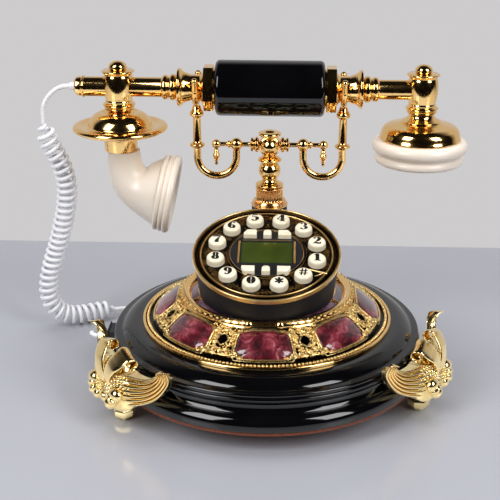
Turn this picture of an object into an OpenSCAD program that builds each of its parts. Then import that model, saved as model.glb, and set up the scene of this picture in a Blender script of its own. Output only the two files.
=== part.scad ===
// French-style cradle telephone on a round enamelled base with three winged feet.
// +X runs along the handset, -Y faces the user, +Z is up, and z = 0 is the floor.
// Its joints: the cradle rises on a sprung plunger, the handset lifts off, 18 keys press in.

/* [Base] */
// Radius of the black turned plinth
plinth_r = 98; // [94:1:104]
// Height of the plinth's underside above the floor
plinth_z = 14; // [13:0.5:17]
// Height of the plinth from its underside to the seat of the crown
plinth_h = 26.4; // [24:0.2:29]
// Wall of the plinth shell
plinth_wall = 4; // [3:0.5:5]
// Thickness of the brown bottom board
board_t = 2; // [1.5:0.1:3]
// Width of the wall socket for the line plug
socket_w = 14; // [13:0.5:17]
// Height of the wall socket for the line plug
socket_h = 12; // [11:0.5:14]

/* [Crown] */
// Outer radius of the gold crown plate
crown_r = 76.2; // [74:0.2:80]
// Thickness of the crown's flat outer rim
crown_rim_t = 2.4; // [2:0.2:3]
// Radius where the sloping band starts above the rim
band_r = 69.5; // [68:0.5:71]
// Rise of the sloping band
band_h = 13; // [11:0.5:15]
// Outer radius of the raised ring round the dial housing
ring_r = 52.8; // [51.5:0.1:54]
// Width of the raised ring
ring_w = 6; // [5:0.2:6.6]
// Number of enamel panels in the sloping band
panel_count = 8; // [6:2:8]
// Width of one enamel panel at its widest
panel_w = 30; // [26:1:32]
// Length of one enamel panel down the slope, seen from above
panel_l = 13; // [11:0.5:13.5]
// Bulge of an enamel panel above the sloping band
panel_bulge = 1.8; // [1:0.2:2.4]
// Gap between an enamel panel and its window
enamel_gap = 0.12; // [0.08:0.02:0.3]

/* [Feet] */
// Number of feet
foot_count = 3; // [3:1:3]
// Turn of the feet round the base's axis, from a foot straight behind, in degrees
foot_turn = 6; // [0:1:10]
// Distance from the base's axis to the middle of each ball foot
foot_r = 101; // [99:0.5:104]
// Distance from the base's axis to the chest of each foot
foot_reach = 113; // [111:0.5:117]
// Radius of the ball foot
foot_ball_r = 6.2; // [5:0.2:8]
// Thickness of a wing where it stands off the plinth
wing_t = 4.5; // [3:0.5:6]

/* [Dial] */
// Outer radius of the dial's gold lip
dial_r = 44; // [43:0.5:46]
// Tilt of the dial face towards the user, in degrees
dial_tilt = 17.3; // [14:0.1:20]
// Height of the dial face's middle
dial_z = 87.2; // [85:0.2:90]
// Distance of the dial's middle in front of the base's axis
dial_forward = 13; // [12:0.5:16]
// Wall of the dial housing
housing_wall = 2.6; // [2:0.1:3.2]
// Radius of the ring of digit keys
key_ring_r = 30.8; // [30:0.1:32]
// Diameter of a digit key
key_d = 10.6; // [9.5:0.1:11.4]
// Height of a key's top above the dial's lip
key_h = 2.4; // [1.8:0.1:3]
// Travel of a key
key_travel = 1.5; // [1:0.1:1.8]
// Gap round a key in the dial face
key_gap = 0.25; // [0.15:0.05:0.35]
// Width of the display window
display_w = 31; // [28:0.5:32]
// Height of the display window
display_h = 20.6; // [18:0.2:21]
// Distance from the dial's middle to each row of function keys
function_row = 17.2; // [17:0.1:18]

/* [Cradle] */
// Distance of the cradle post behind the base's axis
post_back = 42; // [41.5:0.5:44]
// Height of the post collar's top, on the turret
collar_z = 102; // [101.4:0.2:104]
// Height of the fluted sleeve
sleeve_h = 8.6; // [7:0.2:10]
// Radius of the fluted sleeve
sleeve_r = 8.8; // [8:0.1:9.6]
// Radius of the plunger that slides in the turret
plunger_r = 3; // [2.5:0.1:3.5]
// Running clearance round the plunger
plunger_gap = 0.06; // [0.04:0.01:0.1]
// Travel of the cradle when the handset is lifted
hook_travel = 4; // [3:0.5:5]
// Height of the cradle's cross bar
bar_z = 137.6; // [136:0.2:140]
// Distance of each hook's U tube middle from the post
hook_x = 33; // [31:0.5:35]
// Bend radius of the U tube, on its centre line
hook_bend_r = 12.2; // [11:0.2:13]
// Radius of the U tube
hook_tube_r = 2.3; // [1.8:0.1:2.8]
// Radius of a fork prong
prong_r = 1.9; // [1.5:0.1:2.4]
// Half width between the fork's prong tips
prong_spread = 12.6; // [11.5:0.2:14]

/* [Handset] */
// Height of the handset's axis
handset_z = 173; // [171:0.5:176]
// Length of the black grip
grip_l = 66.6; // [62:0.2:67]
// Radius of the black grip
grip_r = 17; // [15:0.5:19]
// Radius of the waist that rests in the fork
waist_r = 8; // [7.2:0.1:8.4]
// Gap between the waist and the fork
waist_gap = 0.3; // [0.2:0.05:0.5]
// Radius of the eight-sided collars
octagon_r = 14.4; // [13:0.2:15]
// Radius of the handset's bar
bar_r = 6; // [5.4:0.1:6.2]
// Distance from the middle to the axis of each end
end_x = 93; // [91:0.5:96]
// Radius of the hubs at both ends
hub_r = 9.4; // [8.8:0.1:9.8]
// Outer radius of the bell disc and of the ear ring
disc_r = 29.5; // [28:0.5:31]
// Radius of the mouthpiece cup
cup_r = 25; // [23:0.5:26]
// Tilt of the mouthpiece cup's axis below the level, in degrees
cup_tilt = 11; // [8:1:14]

/* [Cord] */
// Diameter of the cord
cord_d = 2.8; // [2.6:0.1:2.9]
// Outer diameter of the cord's curls
curl_d = 13.2; // [12.4:0.2:13.4]
// Number of curls
curls = 39; // [34:1:39]

/* [Hidden] */
$fn = 64;

gold = "goldenrod";
ivory = "ivory";
lacquer = "#15161a";

base_y = (plinth_r - foot_reach) / 2;
dial_y = base_y - dial_forward;
post_y = base_y + post_back;
plinth_top = plinth_z + plinth_h;
crown_z = plinth_top + crown_rim_t - 1;
band_z = crown_z + 1.5;
ring_z = band_z + band_h;
tier_z = ring_z + 2.3;
ring_in_r = ring_r - ring_w;
tier_r = ring_in_r - 4.8;
panel_step = 360 / panel_count;
foot_step = 360 / foot_count;

// depth of the dial's parts below the lip, along the dial's axis
face_z = -1.4;
face_t = 1.8;
face_r = dial_r - 5.3;
flange_z = face_z - face_t - 0.3;
flange_t = 1.3;
board_gap = 0.7;
key_board_z = flange_z - flange_t - key_travel - board_gap;
seat_z = -3.5;
inner_ring_r = 23.2;
inner_ring_y = 0.8;
display_y = 1.2;

turret_r = 11.2;
turret_bore_r = 8.4;
turret_z = ring_z + ring_w / 2 + 0.4;
turret_top = collar_z - 4;
turret_floor = turret_z + 2;
sleeve_top = collar_z + sleeve_h;
spring_h = 15;
plunger_z = turret_floor + spring_h;
cone_z = sleeve_top + 0.3;

outer_leg_x = hook_x + hook_bend_r;
inner_leg_x = hook_x - hook_bend_r;
hook_z = bar_z - 8.4;
fork_r = waist_r + waist_gap + prong_r;

// Polar copies round the base's axis, first one towards the user
module around(count) {
    translate([0, base_y, 0])
        for (k = [0 : count - 1])
            rotate([0, 0, k * 360 / count])
                children();
}

// A profile of [radius, height] points turned round the base's axis
module base_turned(points) {
    translate([0, base_y, 0])
        rotate_extrude($fn = 128)
            polygon(points);
}

// Points of an arc in a profile
function arc(cx, cy, r, a0, a1, n) =
    [for (i = [0 : n]) [cx + r * cos(a0 + (a1 - a0) * i / n), cy + r * sin(a0 + (a1 - a0) * i / n)]];

// ---------- base ----------

plinth_profile = concat(
    [[plinth_r - 0.8, plinth_z], [plinth_r, plinth_z + 0.8]],
    arc(plinth_r - 6.4, plinth_z + 2.8, 6.4, 0, 72, 10),
    [[plinth_r - 4.9, plinth_z + 9.1]],
    arc(plinth_r - 1.6, plinth_z + 13.2, 5, 228, 135, 8),
    [[plinth_r - 4.2, plinth_z + 17]],
    arc(plinth_r - 4.9, plinth_z + 18.1, 0.9, -50, 90, 5),
    arc(plinth_r - 5.8, plinth_z + 20.4, 1.2, -70, 80, 6),
    [[plinth_r - 8.4, plinth_z + 21.8]],
    arc(plinth_r - 18, plinth_top - 11, 11, 37, 90, 9),
    [[crown_r - 6, plinth_top]]
);

// Shell of the plinth: a cushion, two beads, a cove and a round-shouldered skirt, open below
module plinth_shell() {
    inner = [
        [0, plinth_top],
        [0, plinth_top - plinth_wall],
        [plinth_r - 18, plinth_top - plinth_wall],
        [plinth_r - 10.4, plinth_top - plinth_wall - 7],
        [plinth_r - 5 - plinth_wall, plinth_z + 8],
        [plinth_r - 1 - plinth_wall, plinth_z + 6],
        [plinth_r - 1 - plinth_wall, plinth_z]
    ];
    base_turned(concat(plinth_profile, inner));
}

screw_r = plinth_r - 11.5;
boss_r = 4;
screw_hole_r = 1.5;
cable_hole_r = 20;

module plinth() {
    color(lacquer)
    difference() {
        union() {
            plinth_shell();
            around(6)
                translate([0, -screw_r, plinth_z])
                    cylinder(r = boss_r, h = plinth_h - 10);
        }
        around(6)
            translate([0, -screw_r, plinth_z - 1])
                cylinder(r = screw_hole_r, h = 12);
        translate([0, base_y, plinth_top - plinth_wall - 1])
            cylinder(r = cable_hole_r, h = plinth_wall + 2);
        translate([-plinth_r - 1, base_y - socket_w / 2, socket_z - socket_h / 2])
            cube([plinth_wall + 14, socket_w, socket_h]);
    }
}

module bottom_board() {
    color("saddlebrown")
    difference() {
        union() {
            translate([0, base_y, plinth_z - board_t])
                cylinder(r = plinth_r - 1, h = board_t);
            for (x = [-35, 35], y = [-25, 25])
                translate([x, base_y + y, plinth_z])
                    cylinder(r = 3, h = standoff_h);
        }
        around(6)
            translate([0, -screw_r, plinth_z - board_t - 1])
                cylinder(r = screw_hole_r + 0.3, h = board_t + 2);
        around(6)
            translate([0, -screw_r, plinth_z - board_t])
                cylinder(r1 = 3.1, r2 = screw_hole_r + 0.3, h = 1.3);
    }
}

// Six countersunk screws hold the board, and one screw from inside holds each foot
module base_screws() {
    color("silver")
    union() {
        around(6)
            translate([0, -screw_r, plinth_z - board_t])
                union() {
                    cylinder(r1 = 3, r2 = screw_hole_r, h = 1.2);
                    cylinder(r = screw_hole_r, h = board_t + 8);
                }
    }
}

standoff_h = 5;
pcb_t = 1.6;
socket_z = plinth_z + 10;

module circuit_board() {
    z = plinth_z + standoff_h;
    color("darkgreen")
    translate([0, base_y, z])
    union() {
        translate([-41, -31, 0])
            cube([82, 62, pcb_t]);
        translate([-30, -14, pcb_t])
            cube([14, 14, 2.4]);
        translate([-4, 6, pcb_t])
            cube([20, 8, 2.4]);
        for (x = [2, 11, 20])
            translate([x, -15, pcb_t])
                cylinder(r = 3, h = 8);
        translate([27, -22, pcb_t])
            cube([9, 18, 7]);
    }
}

// Loudspeaker that rings, in its frame on the board
module ringer() {
    color("dimgray")
    translate([0, base_y + 58, plinth_z])
        rotate_extrude()
            polygon([[0, 0], [20, 0], [20, 3], [18.5, 4], [12, 8], [9, 8], [9, 11], [0, 11]]);
}

// Modular socket let into the plinth's wall, open towards the plug
module line_socket() {
    color("black")
    translate([-plinth_r, base_y, socket_z])
    difference() {
        union() {
            translate([-0.6, -socket_w / 2 - 0.8, -socket_h / 2 - 0.8])
                cube([0.6, socket_w + 1.6, socket_h + 1.6]);
            translate([0, -socket_w / 2 + 0.1, -socket_h / 2 + 0.1])
                cube([14, socket_w - 0.2, socket_h - 0.2]);
        }
        translate([-1, -plug_w / 2 - 0.1, -plug_h / 2 - 0.1])
            cube([plug_in + 1.1, plug_w + 0.2, plug_h + 0.2]);
    }
}

// ---------- crown ----------

panel_mid_r = (band_r + ring_r) / 2;
slope = band_h / (band_r - ring_r);
function band_height(r) = band_z + (band_r - r) * slope;

// Outline of an enamel panel seen from above: round shoulders inside, notched corners outside
module panel_outline(grow) {
    w = panel_w / 2 + grow;
    out_y = -panel_mid_r - panel_l / 2 - grow;
    in_y = -panel_mid_r + panel_l / 2 + grow;
    difference() {
        union() {
            translate([-w, out_y])
                square([2 * w, panel_l + 2 * grow - 4]);
            translate([-w + 4, in_y - 5])
                square([2 * w - 8, 5]);
            for (s = [-1, 1])
                translate([s * (w - 4), in_y - 4])
                    circle(r = 4);
        }
        for (s = [-1, 1])
            translate([s * (w + 0.4), out_y - 0.4])
                circle(r = 3.4 - grow);
    }
}

module panel_prism(grow) {
    translate([0, 0, crown_z - 6])
        linear_extrude(height = band_h + 14)
            panel_outline(grow);
}

// Places its children on the sloping band at radius r towards the user, with +Z out of the slope
module on_band(r) {
    translate([0, -r, band_height(r)])
        rotate([atan(slope), 0, 0])
            children();
}

diamond_w = 6;
scroll_wire_r = 0.9;

// Raised diamond frame and two pairs of leaf scrolls between two panels
module leaf_scrolls() {
    on_band(panel_mid_r)
        rotate([0, 0, 45])
            translate([-diamond_w / 2, -diamond_w / 2, -1])
                cube([diamond_w, diamond_w, 1.7]);
    for (s = [-1, 1]) {
        on_band(panel_mid_r + 5.2)
            translate([s * 3.1, 0, 0])
                scroll_eye(1.9);
        on_band(panel_mid_r - 5)
            translate([s * 2.5, 0, 0])
                scroll_eye(1.5);
    }
}

// Rolled end of a leaf: a small ring of wire
module scroll_eye(r) {
    translate([0, 0, 0.2])
        rotate_extrude($fn = 32)
            translate([r, 0])
                circle(r = scroll_wire_r, $fn = 16);
}

// A scroll in each notch at an enamel panel's outer corners
module notch_scrolls() {
    lean = atan((panel_w / 2 + 0.4) / (panel_mid_r + panel_l / 2 + 0.4));
    for (s = [-1, 1])
        rotate([0, 0, s * lean])
            on_band(panel_mid_r + panel_l / 2 - 0.4)
                scroll_eye(1.4);
}

// Raised ring round the dial housing, open towards the user between two knobs
front_gap = 18;

module raised_ring() {
    mid_r = ring_r - ring_w / 2;
    gap_angle = 2 * asin(front_gap / 2 / mid_r);
    translate([0, base_y, ring_z]) {
        rotate([0, 0, gap_angle / 2 - 90])
            rotate_extrude(angle = 360 - gap_angle, $fn = 128)
                translate([mid_r, 0])
                    circle(d = ring_w, $fn = 48);
        for (s = [-1, 1])
            rotate([0, 0, s * gap_angle / 2])
                translate([0, -mid_r, 0])
                    sphere(d = ring_w + 0.8, $fn = 48);
    }
}

module diamond_hole() {
    w = diamond_w - 2.2;
    on_band(panel_mid_r)
        rotate([0, 0, 45])
            translate([-w / 2, -w / 2, -3])
                cube([w, w, 6]);
}

module crown_plate() {
    under = 1.8;
    color(gold)
    difference() {
        union() {
            base_turned(concat(
                [[crown_r - 6, plinth_top], [crown_r, plinth_top], [crown_r, crown_z - 0.8]],
                arc(crown_r - 0.8, crown_z - 0.8, 0.8, 0, 90, 3),
                [[band_r + 2.6, crown_z], [band_r + 2.2, crown_z - 0.5]],
                arc(band_r + 1.2, crown_z + 0.2, 1, -30, 180, 6),
                [[band_r, band_z], [ring_r - 0.1, band_height(ring_r - 0.1)], [ring_r - 0.5, ring_z + 0.8]],
                [[ring_r - 1.8, ring_z + 1], [ring_r - 2.2, ring_z + 1.9], [ring_r - 3.8, ring_z + 2.1]],
                [[ring_in_r + 0.3, ring_z - 0.5], [ring_in_r, ring_z - 0.5]],
                [[tier_r, tier_z - 1.2], [tier_r, tier_z], [cable_hole_r, tier_z]],
                [[cable_hole_r, tier_z - 2.4], [tier_r - 3, tier_z - 2.4], [ring_in_r, ring_z - 3]],
                [[ring_r - 1, ring_z - under], [band_r - 2, band_z - under]]
            ));
            around(panel_count)
                rotate([0, 0, 90 + panel_step / 2])
                    inner_rib();
            around(panel_count)
                rotate([0, 0, panel_step / 2])
                    leaf_scrolls();
            around(panel_count)
                notch_scrolls();
            raised_ring();
        }
        around(panel_count)
            panel_prism(enamel_gap);
        around(panel_count)
            rotate([0, 0, panel_step / 2])
                diamond_hole();
    }
}

// One thin rib between two inner enamels
module inner_rib() {
    rotate([0, 0, -1.5])
        rotate_extrude(angle = 3)
            polygon([
                [tier_r - 0.2, tier_z - 1.8],
                [tier_r - 0.2, tier_z],
                [ring_in_r + 0.2, ring_z + 1.2],
                [ring_in_r + 0.2, ring_z - 1]
            ]);
}

// Cabochons that follow the sloping band and bulge over it
enamel_t = 1.8;

module crown_enamels() {
    r_out = panel_mid_r + panel_l / 2 + 1;
    r_in = panel_mid_r - panel_l / 2 - 1;
    color("mediumvioletred")
    around(panel_count)
        intersection() {
            rotate([0, 0, -90 - panel_step / 2])
                rotate_extrude(angle = panel_step, $fn = 96)
                    polygon(concat(
                        [[r_in, band_height(r_in) - enamel_t]],
                        [[r_out, max(band_height(r_out) - enamel_t, plinth_top + enamel_gap)]],
                        [for (i = [0 : 8]) let(
                            t = i / 8,
                            r = r_out + (r_in - r_out) * t
                        ) [r, band_height(r) + panel_bulge * (4 * t * (1 - t)) + 0.1]]
                    ));
            panel_prism(0);
        }
}

// Flat enamels of the inner tier, one between each pair of ribs
module inner_enamels() {
    half = panel_step / 2 - 2;
    color("mediumvioletred")
    around(panel_count)
        rotate([0, 0, -90 - half])
            rotate_extrude(angle = 2 * half)
                polygon([
                    [tier_r + 0.1, tier_z - 1.15],
                    [ring_in_r - 0.6, ring_z - 0.2],
                    [ring_in_r - 0.6, ring_z + 0.5],
                    [tier_r + 0.1, tier_z - 0.2]
                ]);
}

// ---------- feet ----------

// Outline of a wing: rounded shoulder, feathered lower edge, curled tip
module wing_outline() {
    polygon(concat(
        [[0, 20], [0, 38], [6, 40.6], [12, 40.6]],
        [[19, 38], [26, 36.4], [31, 37.6], [32.6, 41]],
        arc(35.8, 42.6, 3.4, 190, 10, 6),
        [[39.8, 38], [39, 32], [36, 26.4], [30, 21.4], [23, 18], [15, 17], [6, 17.6]]
    ));
}

// Rows of feathers over the wing: each shorter and thicker than the one under it
module feather_row(row) {
    reach = [26, 18, 10][row];
    droop = [21.4, 24, 27][row];
    polygon([
        [0, droop - 1], [0, 38 - row], [6, 39.6 - row], [12, 39.4 - row],
        [reach - 3, 36.8], [reach + 3, 33], [reach + 1.6, 28.4], [reach - 5, droop + 1], [reach - 12, droop - 1]
    ]);
}

// Bends an outline round the plinth, from depth inside its side to out beyond it
module on_plinth_side(depth, out) {
    intersection() {
        rotate([90, 0, 0])
            linear_extrude(height = plinth_r + 20)
                children();
        rotate_extrude($fn = 128)
            translate([plinth_r - depth, 10])
                square([depth + out, 40]);
    }
}

module one_wing() {
    on_plinth_side(6, wing_t - 2)
        wing_outline();
    for (row = [0 : 2])
        on_plinth_side(5 - row, wing_t - 1.2 + 0.8 * row)
            feather_row(row);
}

// Volute at the top of a foot: an open ring that leans out
module scroll() {
    translate([8.2, -plinth_r - 2.4, 48])
        rotate([58, 0, 16])
            rotate_extrude($fn = 40)
                translate([4.3, 0])
                    circle(r = 1.7, $fn = 32);
}

// Outline of a strip: [share of the way from the plinth to the chest, height], then the ankle
strip_outer = [[-0.2, 46.6], [0, 49.8], [0.27, 50.4], [0.56, 48.4], [0.8, 44.6], [0.96, 39.2], [1, 33], [0.9, 27.4]];
strip_inner = [[0.2, 22.4], [0.33, 33.6], [0.53, 38.6], [0.44, 43], [0.29, 45.4], [0.1, 45.8], [-0.07, 44]];
ankle_z = 8;

// Curved strip from a volute over the chest and down to the ball
module strip() {
    splay = 12;
    pivot_z = 28;
    function places(points) = [for (p = points) [plinth_r + p[0] * (foot_reach - plinth_r), p[1]]];
    translate([3.4, 0, pivot_z])
        rotate([-splay, 0, -90])
            translate([0, 0, -pivot_z])
                rotate([90, 0, 0])
                    linear_extrude(height = 3.6, center = true)
                        polygon(concat(
                            places(strip_outer),
                            places([[0.63, 21.6]]),
                            [[foot_r + 2.6, ankle_z], [foot_r - 1.4, ankle_z]],
                            places(strip_inner)
                        ));
}

// Ball, ridged ankle and chest of a foot, turned in one piece
module foot_stem() {
    translate([0, -foot_r, 0])
        rotate_extrude($fn = 48)
            polygon(concat(
                [[0, 0], [foot_ball_r - 3.4, 0]],
                arc(0, foot_ball_r - 0.6, foot_ball_r, -58, 48, 8),
                [[3.8, 11.4], [4.8, 12.2], [5, 13.4], [4.4, 14], [5.4, 14.8], [5.6, 16], [5, 16.6]],
                [[6.2, 17.4], [6.4, 18.6], [5.8, 19.2], [7, 21], [8.4, 25], [9, 30], [8.2, 35], [6, 39], [0, 41]]
            ));
}

module half_foot() {
    one_wing();
    scroll();
    strip();
}

module foot() {
    difference() {
        union() {
            half_foot();
            mirror([1, 0, 0])
                half_foot();
            foot_stem();
        }
        rotate_extrude($fn = 128)
            polygon(concat(
                [for (p = plinth_profile) [p[0] + 0.05, p[1]]],
                [[0, plinth_top], [0, plinth_z - board_t - 3]],
                [[plinth_r - 6, plinth_z - board_t - 3], [plinth_r - 0.9, plinth_z - board_t]]
            ));
    }
}

module placed_foot(k) {
    color(gold)
    translate([0, base_y, 0])
        rotate([0, 0, foot_step / 2 + foot_turn + k * foot_step])
            foot();
}

// ---------- dial ----------

// Places its children on the tilted dial, with z = 0 at the top of the lip
module on_dial() {
    translate([0, dial_y, dial_z])
        rotate([dial_tilt, 0, 0])
            children();
}

drum_h = 46;
drum_r = dial_r - 0.9;
drum_foot_r = drum_r - 4.4;

// A tapered drum cut level at the crown's inner tier, with the plunger's turret at its back
module dial_housing() {
    color(lacquer)
    difference() {
        union() {
            difference() {
                on_dial()
                    translate([0, 0, seat_z - drum_h])
                        cylinder(r1 = drum_foot_r, r2 = drum_r, h = drum_h);
                on_dial()
                    translate([0, 0, seat_z - drum_h - 1])
                        cylinder(
                            r1 = drum_foot_r - housing_wall,
                            r2 = drum_r - housing_wall,
                            h = drum_h + 2
                        );
            }
            translate([0, post_y, turret_z])
                cylinder(r = turret_r, h = turret_top - turret_z);
        }
        translate([0, 0, tier_z - 50])
            cube([300, 300, 100], center = true);
        translate([0, post_y, turret_floor])
            cylinder(r = turret_bore_r, h = turret_top - turret_floor - 4);
        translate([0, post_y, turret_floor])
            cylinder(r = plunger_r + plunger_gap, h = 60);
        on_dial()
            translate([0, 0, seat_z])
                cylinder(r = dial_r + 30, h = 40);
    }
}

bezel_groove_z = -1.8;

module dial_bezel() {
    color(gold)
    on_dial()
    union() {
        rotate_extrude($fn = 128)
            polygon(concat(
                [[dial_r - 0.6, seat_z], [dial_r, seat_z + 0.6], [dial_r, -0.8]],
                arc(dial_r - 0.8, -0.8, 0.8, 0, 180, 6),
                [[dial_r - 2.2, bezel_groove_z], [face_r + 1.6, bezel_groove_z]],
                arc(face_r + 0.9, -0.9, 0.7, 0, 180, 5),
                [[face_r + 0.1, face_z - face_t - 0.1], [face_r - 1.2, face_z - face_t - 0.1]],
                [[face_r - 1.2, seat_z - 1.2], [face_r + 0.8, seat_z - 1.2], [face_r + 0.8, seat_z]]
            ));
        finger_stop();
    }
}

// Chevron that points from the rim to the gap between the 1 and the # keys
module finger_stop() {
    rotate([0, 0, -30])
        translate([0, 0, face_z + 0.05])
            linear_extrude(height = 1.5)
                polygon([
                    [key_ring_r - 1.2, -0.7],
                    [key_ring_r - 1.2, 0.7],
                    [face_r - 1.5, 1.2],
                    [face_r + 1, 4.4],
                    [face_r + 1, -1.2]
                ]);
}

// Where the digit keys lie round the dial: 1 first, then counter-clockwise to #
module at_digit(i) {
    rotate([0, 0, -15 + 30 * i])
        translate([key_ring_r, 0, 0])
            rotate([0, 0, 15 - 30 * i])
                children();
}

function_x = 10.4;
function_places = [for (row = [1, -1], col = [-1, 0, 1]) [col * function_x, row * function_row]];

// Outline of one function key: the middle ones are narrow, the outer ones are cut on the skew
module function_outline(i, grow) {
    side = i % 3 - 1;
    row = i < 3 ? 1 : -1;
    w = (side == 0 ? 2.4 : 3.9) + grow;
    h = 2.6 + grow;
    translate(function_places[i])
        if (side == 0)
            union() {
                translate([-w, -h])
                    square([2 * w, 2 * h - 2]);
                translate([-w + 2, 0])
                    square([2 * w - 4, h]);
                for (s = [-1, 1])
                    translate([s * (w - 2), h - 2])
                        circle(r = 2, $fn = 32);
            }
        else
            polygon([
                [-side * w, -row * h],
                [side * w, -row * h],
                [side * w, row * (h - 3)],
                [side * (w - 2), row * h],
                [-side * w, row * h]
            ]);
}

module face_holes(grow) {
    for (i = [0 : 11])
        at_digit(i)
            circle(d = key_d + 2 * grow, $fn = 48);
    for (i = [0 : 5])
        function_outline(i, grow);
}

module dial_face() {
    color("darkgoldenrod")
    on_dial()
    difference() {
        union() {
            translate([0, 0, face_z - face_t])
                cylinder(r = face_r, h = face_t, $fn = 128);
            translate([0, inner_ring_y, face_z - 0.05])
                rotate_extrude($fn = 96)
                    polygon([
                        [inner_ring_r - 0.5, 0],
                        [inner_ring_r + 0.5, 0],
                        [inner_ring_r + 0.3, 1],
                        [inner_ring_r - 0.3, 1]
                    ]);
        }
        translate([0, 0, face_z - face_t - 1])
            linear_extrude(height = face_t + 4)
                face_holes(key_gap);
        translate([-display_w / 2 - 0.6, display_y - display_h / 2 - 0.6, face_z - face_t - 1])
            cube([display_w + 1.2, display_h + 1.2, face_t + 2]);
        translate([0, inner_ring_y, face_z - 0.6])
            cylinder(r = inner_ring_r - 0.5, h = 3, $fn = 96);
        rotate([0, 0, -30])
            translate([key_ring_r - 2, -2, face_z - 0.1])
                cube([20, 8, 3]);
    }
}

// Black plate inside the inner ring, with the display's gilt side bars
module display_frame() {
    color("black")
    on_dial()
    difference() {
        union() {
            translate([0, inner_ring_y, face_z - 0.6])
                cylinder(r = inner_ring_r - 0.6, h = 0.7, $fn = 96);
            for (s = [-1, 1])
                translate([s * (display_w / 2 + 0.9) - 0.4, display_y - display_h / 2, face_z])
                    cube([0.8, display_h, 0.7]);
        }
        translate([0, 0, face_z - 2])
            linear_extrude(height = 4)
                face_holes(key_gap);
        translate([-display_w / 2, display_y - display_h / 2, face_z - 2])
            cube([display_w, display_h, 4]);
    }
}

// Liquid crystal display behind its window
module display_window() {
    color("darkolivegreen")
    on_dial()
    union() {
        translate([-display_w / 2 + 0.1, display_y - display_h / 2 + 0.1, face_z - 1.2])
            cube([display_w - 0.2, display_h - 0.2, 1]);
        translate([-display_w / 2 - 0.4, display_y - display_h / 2 - 0.4, key_board_z])
            cube([display_w + 0.8, display_h + 0.8, face_z - 1.2 - key_board_z]);
    }
}

contact_h = 0.5;

// Circuit board under the keys, with one contact dome for each key
module key_board() {
    pcb = 1.4;
    color("darkgreen")
    on_dial()
    union() {
        translate([0, 0, key_board_z - pcb])
            cylinder(r = face_r - 1.4, h = pcb, $fn = 96);
        for (i = [0 : 11])
            at_digit(i)
                translate([0, 0, key_board_z])
                    cylinder(r = 2.4, h = contact_h, $fn = 24);
        for (p = function_places)
            translate([p[0], p[1], key_board_z])
                cylinder(r = 1.6, h = contact_h, $fn = 24);
        for (k = [0 : 3])
            rotate([0, 0, 90 * k])
                translate([face_r - 3.4, 0, key_board_z])
                    cylinder(r = 1.5, h = face_z - face_t - key_board_z, $fn = 24);
    }
}

// ---------- keys ----------

// Round key: flange under the face, cylindrical skirt, softly domed top with a shallow dish
module digit_key(i) {
    color(ivory)
    on_dial()
        at_digit(i)
            rotate_extrude($fn = 48)
                polygon(concat(
                    [[0, flange_z - flange_t], [key_d / 2 + 0.9, flange_z - flange_t]],
                    [[key_d / 2 + 0.9, flange_z], [key_d / 2, flange_z], [key_d / 2, key_h - 2]],
                    [[key_d / 2 - 0.25, key_h - 1.3], [key_d / 2 - 0.8, key_h - 0.65]],
                    [[key_d / 2 - 1.6, key_h - 0.2], [key_d / 2 - 2.5, key_h]],
                    [[key_d / 2 - 3.6, key_h - 0.05], [0, key_h - 0.2]]
                ));
}

// Small function key with a flange under the face
module function_key(i) {
    color(ivory)
    on_dial()
    union() {
        translate([0, 0, flange_z - flange_t])
            linear_extrude(height = flange_t)
                function_outline(i, 0.8);
        translate([0, 0, flange_z - 0.1])
            linear_extrude(height = key_h - 0.8 - flange_z)
                function_outline(i, 0);
        translate([0, 0, key_h - 0.95])
            linear_extrude(height = 0.6)
                function_outline(i, -0.5);
    }
}

// ---------- hook switch and post ----------

module hook_switch() {
    color("black")
    translate([0, post_y, turret_floor])
    union() {
        translate([-4, -3, 0])
            cube([8, 6, spring_h - 7]);
        translate([-1.2, -1.2, spring_h - 7.1])
            cube([2.4, 2.4, 1.8]);
    }
}

function unit(v) = v / norm(v);
function along(p, i) = unit(p[min(i + 1, len(p) - 1)] - p[max(i - 1, 0)]);
function ring(c, t, up, r, sides) = let(
    a = unit(cross(t, up)),
    b = cross(t, a)
) [for (k = [0 : sides - 1]) c + r * (a * cos(360 * k / sides) + b * sin(360 * k / sides))];

// Tube of radius r along points, with a ring of sides at each and flat ends
module tube(p, r, sides, ups) {
    n = len(p);
    points = [for (i = [0 : n - 1]) each ring(p[i], along(p, i), is_undef(ups) ? [0.1, 1, 0.05] : ups[i], r, sides)];
    walls = [
        for (i = [0 : n - 2], k = [0 : sides - 1]) let(
            a = i * sides + k,
            b = i * sides + (k + 1) % sides
        ) each [[a, a + sides, b], [b, a + sides, b + sides]]
    ];
    caps = [
        for (k = [1 : sides - 2]) [0, k, k + 1],
        for (k = [1 : sides - 2]) [(n - 1) * sides, (n - 1) * sides + k + 1, (n - 1) * sides + k]
    ];
    polyhedron(points, concat(walls, caps));
}

// Compression spring between the turret's floor and the plunger's flange
module return_spring() {
    wire_r = 0.7;
    coil_r = 6.6;
    turns = 6;
    steps = 10;
    rise = spring_h - 2 * wire_r - 0.2;
    p = [for (i = [0 : turns * steps]) let(a = 360 * i / steps)
        [coil_r * cos(a), coil_r * sin(a), wire_r + 0.1 + rise * i / (turns * steps)]];
    color("silver")
    translate([0, post_y, turret_floor])
        tube(p, wire_r, 6, [for (q = p) [-q[1], q[0], 60]]);
}

collar_r = 11.6;
flutes = 30;

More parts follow.
